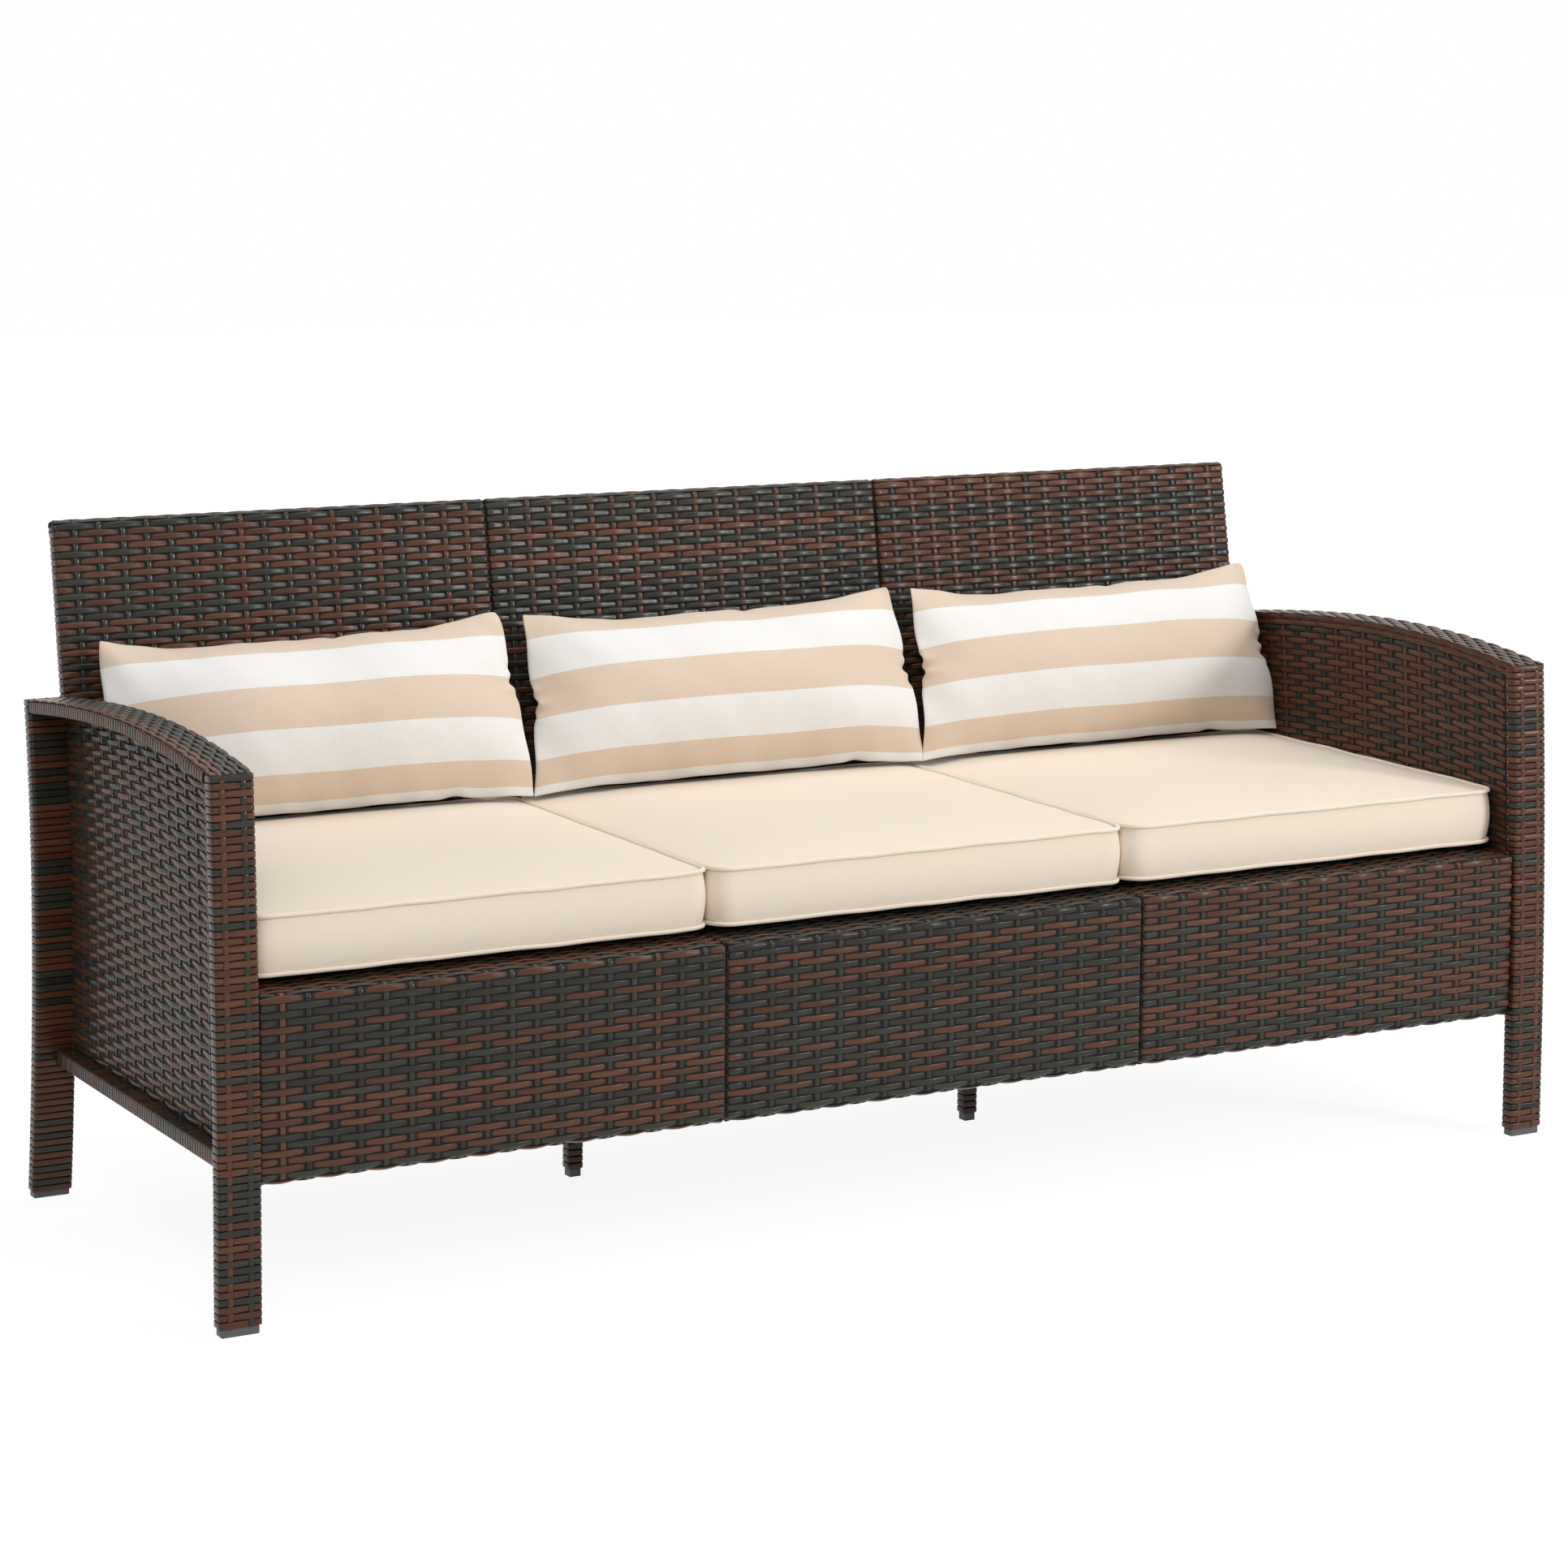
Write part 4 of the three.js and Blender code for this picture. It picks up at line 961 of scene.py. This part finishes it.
# %% [markdown]
# ## The panels in the arms
#
# A panel fills an arm between the rail, the underside of the arch and the two legs. A flat weave could
# be cut to that shape with a Boolean, but then its rows would stay level and be cut off at the arch. On
# the real sofa they fan out with it, so the patch tree stretches the weave between the four edges.

# %% The panels in the arms
PANEL_ACROSS, PANEL_UP, PANEL_ROWS = 571 * MM, 415 * MM, 50
PANEL_DROP, LEG_GAP, INTO_RAIL = 17.0, 10.6, 0.0008
low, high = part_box("side_panel_weave_right")
panel_x = (low.x + high.x) / 2


def panel_edges(x):
    """The lower, upper, front and rear edge of a panel."""
    base = (rail_high.z - INTO_RAIL) / MM
    ends = {}
    for end, leg, gap in (("front", front_leg_y, LEG_GAP), ("rear", rear_leg_y, -LEG_GAP)):
        # A leg and the arch both curve, so the height where they meet is found by trying again.
        top = 587.0
        for _ in range(6):
            top = arm_top_z(leg(top) + gap) - PANEL_DROP
        heights = [base + (top - base) * i / 20 for i in range(21)]
        ends[end] = [place(0, leg(z) + gap, z) for z in heights]
    first, last = (ends[end][-1].y / MM - SHIFT for end in ("front", "rear"))
    top_line = [place(0, y, arm_top_z(y) - PANEL_DROP) for y in
                (first + (last - first) * i / 30 for i in range(31))]
    base_line = [ends["front"][0], ends["rear"][0]]
    lines = [base_line, top_line, ends["front"], ends["rear"]]
    return [[(x, point.y, point.z) for point in line] for line in lines]


panel_stations = [i * WARP_PITCH / 4 * MM for i in range(1, 73)]
panel_stations = [0.0008, *panel_stations, PANEL_ACROSS - 0.0008]
panel_row = guide("panel_row", [[(x, 0, 0) for x in panel_stations]])
first_warp = (PANEL_ACROSS - (FLAT_WARPS - 1) * WARP_PITCH * MM) / 2
pitch = PANEL_UP / PANEL_ROWS
for name, side in SIDES.items():
    edges = guide(f"panel_edges_{name}", panel_edges(side * panel_x))
    values = {
        **under("Rows", {**row_values, "Row guide": panel_row, "Rows": PANEL_ROWS, "Row pitch": pitch,
                         "First warp": first_warp, "Row brown share": 0.72, "Row seed": 151 + side}),
        **under("Warps", {**warp_values, "First place": (first_warp, 0, 0), "Length": PANEL_UP,
                          "Row pitch": pitch, "Warp brown share": 0.5, "Warp seed": 161 + side}),
        **under("Film", {"Across": PANEL_ACROSS, "Up": PANEL_UP, "Thickness": FILM * MM, "Steps": 20}),
        "Edges": edges, "Across": PANEL_ACROSS, "Up": PANEL_UP, "Side": 1, **resin_values}
    stands_for(make_piece(f"woven_panel_{name}", panel_tree, values), f"side_panel_weave_{name}")

# %% [markdown]
# ## Fabrics
#
# Both fabrics are matt, with a fine diagonal weave that is a small bump. The stripes could be counted
# on the height in the room, but they would then stay straight across every fold. They are counted on
# the height that each point had on the flat cloth, beige and white in turn from the top seam, which
# cuts the first one short.

# %% Fabrics
THREAD = 0.0013
STRIPE_SHARE, FIRST_STRIPE = 0.23, 0.135


def fabric(name, colour):
    """A matt cloth. Gives its nodes and the pattern of its threads too, for its colour."""
    material, s, shader = new_material(name, colour, 0.85, {"Sheen Weight": 0.15,
                                                            "Sheen Roughness": 0.5})
    where = s.add("ShaderNodeTexCoord", out="Object")
    mirrored = s.add("ShaderNodeVectorMath", {0: where, 1: (-1, 1, 1)}, operation="MULTIPLY")
    threads = [s.add("ShaderNodeTexWave", {"Vector": run, "Scale": 0.31 / THREAD, "Distortion": 0.6,
                                           "Detail": 1.0}, out="Fac", bands_direction="DIAGONAL")
               for run in (where, mirrored)]
    wave = s.times(*threads)
    s.bump(shader, wave, 0.35, 0.0003)
    return material, s, shader.inputs["Base Color"], wave


cream, s, colour, wave = fabric("cream_twill", "ebdecd")
s.fill(colour, s.mix(s.times(wave, 0.35), srgb("ecdfcd"), srgb("d8c8b4")))

stripes, s, colour, wave = fabric("striped_cloth", "e3cbb2")
from_top = s.minus(1.0 + STRIPE_SHARE - FIRST_STRIPE, s.value("height"))
odd = s.math("MODULO", s.math("FLOOR", s.over(from_top, STRIPE_SHARE)), 2.0)
pale = s.mix(s.times(wave, 0.2), srgb("ebe9e6"), srgb("dddbd8"))
beige = s.mix(s.times(wave, 0.25), srgb("dbc8b4"), srgb("ccb7a1"))
s.fill(colour, s.mix(odd, beige, pale))
print("fabrics ready")

# %% [markdown]
# ## Padded forms
#
# A cushion is sewn from flat pieces of cloth and stuffed. It could be sculpted, or be a box with a
# Subdivision Surface, but neither gets the tension and the small folds of real cloth by itself. Here
# the sewn pieces are grids of small squares, joined along their seams, and Blender's cloth simulation
# blows them up with a little pressure. Gravity is off, because the filling holds the shape. The result
# is then brought to the size of the CAD form, and the cloth modifier is gone.

# %% Padded forms
def grid_object(name, vertices, faces):
    mesh = bpy.data.meshes.new(name)
    mesh.from_pydata(vertices, [], faces)
    mesh.update()
    return add_object(name, mesh)


def inflate(thing, pinned, cut, pressure, frames, stiffness, bending):
    """Blow a sewn form up and return its points. cut gives each point's place on the flat cloth."""
    thing.shape_key_add(name="start")
    pattern = thing.shape_key_add(name="cut")
    for point, where in zip(pattern.data, cut):
        point.co = where
    modifier = thing.modifiers.new("Cloth", "CLOTH")
    cloth = modifier.settings
    cloth.quality = 6
    cloth.mass = 0.3
    cloth.tension_stiffness = cloth.compression_stiffness = stiffness
    cloth.shear_stiffness = stiffness / 3
    cloth.bending_stiffness = bending
    cloth.use_pressure = True
    cloth.uniform_pressure_force = pressure
    cloth.effector_weights.gravity = 0
    cloth.rest_shape_key = pattern
    thing.vertex_groups.new(name="seams").add(pinned, 1.0, "REPLACE")
    cloth.vertex_group_mass = "seams"
    modifier.point_cache.frame_start, modifier.point_cache.frame_end = 1, frames
    scene.frame_start, scene.frame_end = 1, frames
    for number in range(1, frames + 1):
        scene.frame_set(number)
    graph = bpy.context.evaluated_depsgraph_get()
    blown = [vertex.co.copy() for vertex in thing.evaluated_get(graph).data.vertices]
    thing.modifiers.clear()
    thing.vertex_groups.clear()
    thing.shape_key_clear()
    scene.frame_set(1)
    return blown


def subdivided(thing):
    """One level of smooth subdivision, applied."""
    modifier = thing.modifiers.new("Smooth", "SUBSURF")
    modifier.levels = modifier.render_levels = 1
    keep_result(thing)


print("simulation", "on")

# %% [markdown]
# ## The seam of a pillow
#
# A lumbar pillow is two rectangles of cloth sewn together round the edge, with no border between them.
# When it is stuffed, the edges draw in and the corners stand out. The simulation could find the place
# of the seam too, but each pillow would then end a little somewhere else than in the photograph. So
# the seam is held where it should be while the two sides are blown up, and its shape is written here.

# %% The seam of a pillow
HALF_WIDTH, HALF_HEIGHT, PILLOW_DEPTH = 0.271, 0.1145, 0.128


def hump(value, middle, width):
    """1 in the middle, and smoothly down to 0 on both sides."""
    return math.exp(-((value - middle) / width) ** 2)


def seam_place(u, v, draws):
    """Where a point of the seam goes, in metres. u runs from -1 to 1 across, v from -1 to 1 up."""
    left_dent, right_dent, waves, phase, small_waves, notch = draws
    upper, lower = max(0.0, v), max(0.0, -v)
    corner = max(0.0, abs(u) - 0.52) / 0.48
    end = max(0.0, abs(u) - 0.7) / 0.3
    x = u * HALF_WIDTH * (1 - (0.022 if u < 0 else 0.038) * v)
    z = v * HALF_HEIGHT + (0.003 + 0.004 * u) * upper - 0.005 * lower ** 4
    # The long edges draw in between the corners, each with a small notch.
    top_draw = 0.0195 * (1 - corner ** 1.5) + 0.003 * hump(u, notch, 0.035)
    low_draw = 0.007 * (1 - corner ** 2) + 0.004 * hump(u, 0.62, 0.045)
    z -= v * (top_draw if v > 0 else low_draw) * abs(v) ** 2
    # The short edges draw in less, and have a dent.
    dent = hump(v, left_dent if u < 0 else right_dent, 0.16)
    x -= math.copysign(0.005 * dent * end ** 2 + 0.002 * (1 - v * v) * end ** 2, u)
    # The upper corners are blunt, the right one more so.
    blunt = 0.007 * (abs(u) * upper) ** 14 * (1 if u > 0 else 0.3)
    # Seen from above, the seam waves a little.
    wobble = math.sin(u * waves + phase) + 0.6 * math.sin(u * small_waves + v * 9)
    y = 0.0016 * wobble + 0.004 * dent * end * math.sin(v * 40) + 0.008 * lower ** 2
    return x - math.copysign(blunt, u), y, z - blunt


print("pillow", 2 * HALF_WIDTH, "m wide,", 2 * HALF_HEIGHT, "m high,", PILLOW_DEPTH, "m deep")

# %% [markdown]
# ## The cloth of a pillow
#
# The cloth is cut taller than the seam is high, which gives the swell when it is blown up. The height
# on the flat cloth is kept for each point, so that the stripes follow the folds. After the simulation
# the ripples in the middle of a face are smoothed away, because a firm filling leaves folds only near
# the seam.

# %% The cloth of a pillow
PILLOW_COLUMNS, PILLOW_ROWS = 96, 44
FLAT_DEPTH, SIDE_SLACK, TOP_SLACK = 0.02, 0.003, 0.021
SETTLED_HALF_HEIGHT, SETTLE_ROUNDS = 0.1345, 30


def pillow_cut(seed):
    """Start places, faces, heights on the cloth, seam points and places on the flat cut."""
    dice = random.Random(seed)
    draws = (dice.uniform(-0.15, 0.1), dice.uniform(-0.05, 0.25), dice.uniform(9, 13),
             dice.uniform(0, 6), dice.uniform(22, 30), dice.uniform(-0.6, 0.5))
    bumps = [(dice.uniform(2, 9), dice.uniform(2, 6), dice.uniform(0, 6.3)) for _ in range(5)]
    start, cut, heights, seam, front, back = [], [], [], [], {}, {}
    for j in range(PILLOW_ROWS + 1):
        for i in range(PILLOW_COLUMNS + 1):
            u, v = 2 * i / PILLOW_COLUMNS - 1, 2 * j / PILLOW_ROWS - 1
            edge = i in (0, PILLOW_COLUMNS) or j in (0, PILLOW_ROWS)
            x, y, z = seam_place(u, v, draws)
            ripple = sum(math.sin(a * u + c) * math.sin(b * v + c) for a, b, c in bumps)
            depth = (FLAT_DEPTH + 0.0006 * ripple) * (1 - u ** 4) * (1 - v ** 4)
            flat_x = u * (HALF_WIDTH + SIDE_SLACK * (1 - v * v))
            flat_z = v * (HALF_HEIGHT + TOP_SLACK * (1 - abs(u) ** 4))
            under_side = 0.16 * (max(0.0, -v - 0.6) / 0.4) ** 1.5
            for side, store in ((-1, front), (1, back)):
                if edge and side == 1:
                    store[i, j] = front[i, j]
                    continue
                store[i, j] = len(start)
                if edge:
                    seam.append(len(start))
                start.append((x, y if edge else y + side * depth, z))
                cut.append((flat_x, 0 if edge else side * 0.001, flat_z))
                heights.append((v + 1) / 2 * (1 + 0.035 * abs(u) ** 6) - under_side)
    faces = []
    for j in range(PILLOW_ROWS):
        for i in range(PILLOW_COLUMNS):
            corners = ((i, j), (i + 1, j), (i + 1, j + 1), (i, j + 1))
            faces.append([front[c] for c in corners])
            faces.append([back[c] for c in reversed(corners)])
    return start, faces, heights, seam, cut


def settled(points, faces, seam, cut):
    """Let the ripples of the blown cloth settle, most in the middle of a face and not on the seam."""
    beside = [[] for _ in points]
    for face in faces:
        for first, second in zip(face, face[1:] + face[:1]):
            beside[first].append(second)
            beside[second].append(first)
    share = [0.5 * min(1, max(0, HALF_WIDTH - abs(x)) / 0.06)
             * min(1, max(0, SETTLED_HALF_HEIGHT - abs(z)) / 0.05) for x, _, z in cut]
    for index in seam:
        share[index] = 0
    for _ in range(SETTLE_ROUNDS):
        means = [sum((points[k] for k in near), Vector()) / len(near) for near in beside]
        points = [point.lerp(mean, part) if part else point
                  for point, mean, part in zip(points, means, share)]
    return points


print("squares of cloth in a pillow:", 2 * PILLOW_COLUMNS * PILLOW_ROWS)

# %% [markdown]
# ## The three pillows
#
# Each pillow has a seed of its own for its dents and waves. It leans on the back, so it is turned by
# 20 degrees and set in the box of its CAD form. In the photograph the pillows on the right look a
# little wider, and are stretched to match.

# %% The three pillows
STRETCH = {"left": 1.0, "middle": 1.02, "right": 1.027}
PILLOW_LEAN = -20
turn = Matrix.Rotation(math.radians(PILLOW_LEAN), 3, "X")
for name, place_number in PLACES.items():
    start, faces, heights, seam, cut = pillow_cut(41 + place_number)
    pillow = grid_object(f"striped_pillow_{name}", start, faces)
    blown = inflate(pillow, seam, cut, pressure=4.0, frames=20, stiffness=12.0, bending=0.4)
    blown = settled(blown, faces, seam, cut)
    low = Vector([min(p[k] for p in blown) for k in range(3)])
    high = Vector([max(p[k] for p in blown) for k in range(3)])
    print(name, "blown to", [round(v * 1000) for v in high - low])
    deeper = PILLOW_DEPTH / (high.y - low.y)
    box_low, box_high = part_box(f"pillow_{name}")
    seat = (box_low + box_high) / 2 + Vector((0.009 - 0.005 * place_number, 0.004, 0.012))
    for vertex, point in zip(pillow.data.vertices, blown):
        vertex.co = seat + turn @ Vector((point.x * STRETCH[name], point.y * deeper, point.z))
    layer = pillow.data.attributes.new("height", "FLOAT", "POINT")
    layer.data.foreach_set("value", heights)
    subdivided(pillow)
    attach(pillow, f"pillow_{name}")
    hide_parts(f"pillow_{name}")
    pillow.data.materials.append(stripes)

# %% [markdown]
# ## The cloth of a seat cushion
#
# A box cushion has a top panel, a bottom panel and a boxing strip between them, and a piped seam along
# both edges. The two seams are held on rounded rectangles, and the panels between them swell. A plain
# square grid would leave the round corners jagged, so the grid is bent onto the rounded rectangle ring
# by ring, and every square stays close to a square.

# %% The cloth of a seat cushion
SEAM_LOW, SEAM_HIGH, CUSHION_TOP = 0.012, 0.076, 0.090
CUSHION_CORNER = 0.026
CUSHION_COLUMNS, CUSHION_ROWS, STRIPS = 70, 66, 8


def rounded(u, v, half_x, half_y, corner):
    """A point of a square grid on a rounded rectangle, ring by ring."""
    reach = max(abs(u), abs(v))
    if reach == 0:
        return 0.0, 0.0
    x, y = abs(u) / reach * half_x, abs(v) / reach * half_y
    over_x, over_y = x - (half_x - corner), y - (half_y - corner)
    if over_x > 0 and over_y > 0:
        angle = over_y / corner * math.pi / 4 if over_x >= over_y else (
            math.pi / 2 - over_x / corner * math.pi / 4)
        x = half_x - corner + corner * math.cos(angle)
        y = half_y - corner + corner * math.sin(angle)
    return math.copysign(x, u) * reach, math.copysign(y, v) * reach


def cushion_panel(level, rise, slack, half_x, half_y, start, cut, faces):
    """Add one panel at the level of its seam. Gives the number of each point of its grid."""
    store = {}
    for j in range(CUSHION_ROWS + 1):
        for i in range(CUSHION_COLUMNS + 1):
            u, v = 2 * i / CUSHION_COLUMNS - 1, 2 * j / CUSHION_ROWS - 1
            x, y = rounded(u, v, half_x, half_y, CUSHION_CORNER)
            swell = (1 - u ** 2) * (1 - v ** 2)
            store[i, j] = len(start)
            start.append((x, y, level + rise * swell ** 0.5))
            cut.append((x * slack, y * slack, level))
    for j in range(CUSHION_ROWS):
        for i in range(CUSHION_COLUMNS):
            corners = [store[c] for c in ((i, j), (i + 1, j), (i + 1, j + 1), (i, j + 1))]
            faces.append(corners if rise > 0 else corners[::-1])
    return store


def cushion_cut(half_x, half_y, seed):
    """Start places, faces, the two seams as rings of points, and places on the flat cut."""
    dice = random.Random(seed)
    phases = [(dice.randint(9, 30), dice.uniform(0, 6.3)) for _ in range(4)]
    start, cut, faces = [], [], []
    upper = cushion_panel(SEAM_HIGH, 0.008, 1.012, half_x, half_y, start, cut, faces)
    lower = cushion_panel(SEAM_LOW, -0.010, 1.006, half_x, half_y, start, cut, faces)
    across, along = range(CUSHION_COLUMNS), range(CUSHION_ROWS)
    keys = [(i, 0) for i in across] + [(CUSHION_COLUMNS, j) for j in along]
    keys += [(CUSHION_COLUMNS - i, CUSHION_ROWS) for i in across]
    keys += [(0, CUSHION_ROWS - j) for j in along]
    seams = [[panel[key] for key in keys] for panel in (lower, upper)]
    before = seams[0]
    for step in range(1, STRIPS + 1):
        share = step / STRIPS
        above = seams[1] if step == STRIPS else []
        if step < STRIPS:
            for index in seams[0]:
                x, y, _ = start[index]
                spot = Vector((x, y)) * (1 + 0.012 * math.sin(math.pi * share))
                above.append(len(start))
                start.append((spot.x, spot.y, SEAM_LOW + (SEAM_HIGH - SEAM_LOW) * share))
                cut.append((x, y, SEAM_LOW + (SEAM_HIGH - SEAM_LOW + 0.003) * share))
        for a in range(len(before)):
            b = (a + 1) % len(before)
            faces.append((before[a], before[b], above[b], above[a]))
        before = above
    for seam in seams:
        for number, index in enumerate(seam):
            x, y, z = start[index]
            around = 2 * math.pi * number / len(seam)
            wave = sum(math.sin(count * around + phase) for count, phase in phases)
            start[index] = (x, y, z + 0.00018 * wave)
    return start, faces, seams, cut


print("boxing", round((SEAM_HIGH - SEAM_LOW) * 1000), "mm high")

# %% [markdown]
# ## The three seat cushions
#
# Each cushion is blown up, brought to the height of its CAD form, and pressed flat underneath, because
# it lies on the deck. The piping is a round cord covered in the same cloth, sewn into the seams. It
# follows the points of the seams themselves, so it can't come loose from the cloth anywhere.

# %% The three seat cushions
CORD_RADIUS, CORD_OUT = 0.0028, 0.0012
SIDE_ROOM, FRONT_ROOM = 0.0022, 0.0035


def piping(name, loops):
    """A round cord along closed loops."""
    line = poly_curve(name, loops, closed=True)
    line.data.bevel_depth, line.data.bevel_resolution = CORD_RADIUS, 2
    bpy.context.view_layer.update()
    mesh = bpy.data.meshes.new_from_object(line.evaluated_get(bpy.context.evaluated_depsgraph_get()))
    bpy.data.objects.remove(line)
    mesh.shade_smooth()
    return add_object(name, mesh)


for name, place_number in PLACES.items():
    box_low, box_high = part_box(f"seat_cushion_{name}")
    half_x = (box_high.x - box_low.x) / 2 - SIDE_ROOM
    half_y = (box_high.y - box_low.y) / 2 - FRONT_ROOM
    start, faces, seams, cut = cushion_cut(half_x, half_y, 60 + place_number)
    cushion = grid_object(f"box_cushion_{name}", start, faces)
    blown = inflate(cushion, seams[0] + seams[1], cut, pressure=3.0, frames=16, stiffness=15.0,
                    bending=0.3)
    high = max(point.z for point in blown)
    print(name, "crown", round((high - SEAM_HIGH) * 1000, 1), "mm before it is fitted")
    fit = (CUSHION_TOP - SEAM_HIGH) / (high - SEAM_HIGH)
    base = Vector(((box_low.x + box_high.x) / 2, (box_low.y + box_high.y) / 2, box_low.z))
    for vertex, point in zip(cushion.data.vertices, blown):
        z = point.z
        if z > SEAM_HIGH:
            z = SEAM_HIGH + (z - SEAM_HIGH) * fit
        vertex.co = base + Vector((point.x, point.y, max(z, 0)))
    loops = []
    for seam in seams:
        spots = [cushion.data.vertices[index].co for index in seam]
        loops.append([spot + CORD_OUT * Vector((spot.x - base.x, spot.y - base.y, 0)).normalized()
                      for spot in spots])
    cord = piping(f"cushion_piping_{name}", loops)
    subdivided(cushion)
    for piece in (cushion, cord):
        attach(piece, f"seat_cushion_{name}")
        piece.data.materials.append(cream)
    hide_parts(f"seat_cushion_{name}")

# %% [markdown]
# ## The floor and the white surround
#
# The sofa stands on a pale floor. Rays of light meet a plain matt surface, so that the floor throws
# soft light back. Rays of the camera also see a glow, which grows to white away from the sofa. The
# shadow is kept, and the edge of the floor can't be seen.

# %% The floor and the white surround
FLOOR_HALF = 15
GLOW_START, GLOW_END, GLOW_LOW, GLOW_HIGH = 0.9, 2.2, 0.89, 1.0
floor_corners = [(x * FLOOR_HALF, y * FLOOR_HALF, 0) for x, y in ((-1, -1), (1, -1), (1, 1), (-1, 1))]
floor = grid_object("floor", floor_corners, [(0, 1, 2, 3)])


def seen_rays(s):
    """1 for rays that show a thing to the camera, directly or in a gloss, 0 for rays of light."""
    rays = s.node("ShaderNodeLightPath").outputs
    seen = s.math("MAXIMUM", rays["Is Camera Ray"], rays["Is Glossy Ray"])
    return s.math("MAXIMUM", seen, rays["Is Transmission Ray"])


floor_material, s, shader = new_material("pale_floor", "f2f2f0", 0.9)
where = s.add("ShaderNodeTexCoord", out="Object")
oval = s.add("ShaderNodeVectorMath", {0: where, 1: (0.7, 1, 0)}, operation="MULTIPLY")
away = s.add("ShaderNodeVectorMath", {0: oval}, out="Value", operation="LENGTH")
strength = s.spread(away, GLOW_START, GLOW_END, GLOW_LOW, GLOW_HIGH)
glow = s.add("ShaderNodeEmission", {"Color": (1, 1, 1, 1), "Strength": strength})
matt = s.add("ShaderNodeBsdfDiffuse", {"Color": (0.25, 0.25, 0.25, 1)})
seen = s.add("ShaderNodeAddShader", {0: matt, 1: glow})
surface = s.add("ShaderNodeMixShader", {0: seen_rays(s), 1: shader.outputs[0], 2: seen})
s.fill(s.graph.nodes["Material Output"].inputs["Surface"], surface)
floor.data.materials.append(floor_material)

world = bpy.data.worlds.new("studio")
scene.world = world
world.use_nodes = True
s = Shade(world.node_tree)
soft = world.node_tree.nodes["Background"]
soft.inputs["Color"].default_value = (1, 1, 1, 1)
s.fill(soft.inputs["Strength"], s.spread(seen_rays(s), 0.0, 1.0, 0.37, 1.0))
print("floor and surround ready")

# %% [markdown]
# ## Light
#
# The photograph has the plain, soft light of a studio: a key from the left and the front, a large lamp
# above, and a fill from the right. A bright sky alone would light the sofa as evenly, but the resin
# only gets its low shine, strand by strand, from lamps that have a direction.

# %% Light
def area_light(name, where, target, size, power):
    data = bpy.data.lights.new(name, "AREA")
    data.shape, data.size, data.energy = "SQUARE", size, power
    light = add_object(name, data)
    light.location = where
    light.rotation_euler = (Vector(target) - Vector(where)).to_track_quat("-Z", "Y").to_euler()


area_light("key", (-2.2, -3.4, 3.0), (0, 0, 0.4), 1.0, 40)
area_light("top", (0.5, -0.2, 3.6), (0, 0, 0.3), 3.0, 62)
area_light("right_fill", (3.07, -3.6, 1.9), (0, 0, 0.5), 0.85, 79)
print("lamps:", len(bpy.data.lights))

# %% [markdown]
# ## The camera
#
# The camera could be set by eye until the picture looks right, but the sofa has straight edges, so its
# place was worked out from the feet, seams and corners in the photograph. Yaw, pitch and roll give the
# three directions of its frame, which become the columns of its matrix.

# %% The camera
YAW, PITCH, ROLL = 0.5133, -0.09939, 0.00755
ahead = Vector((math.sin(YAW) * math.cos(PITCH), math.cos(YAW) * math.cos(PITCH), math.sin(PITCH)))
level = Vector((math.cos(YAW), -math.sin(YAW), 0))
up = Vector((-math.sin(YAW) * math.sin(PITCH), -math.cos(YAW) * math.sin(PITCH), math.cos(PITCH)))
right = level * math.cos(ROLL) + up * math.sin(ROLL)
up = up * math.cos(ROLL) - level * math.sin(ROLL)
camera_data = bpy.data.cameras.new("photo_camera")
camera_data.sensor_width, camera_data.lens, camera_data.shift_y = 36, 92.39, -0.2
camera = add_object("photo_camera", camera_data)
facing = Matrix((right, up, -ahead)).transposed().to_4x4()
camera.matrix_world = Matrix.Translation((-2.42732, -4.2521, 1.34797)) @ facing
scene.camera = camera
scene.view_settings.view_transform = "Standard"
print("camera at", [round(v, 3) for v in camera.matrix_world.translation])

# %% [markdown]
# ## The end
#
# The guides have done their work and go.

# %% The end
for thing in guides:
    bpy.data.objects.remove(thing)
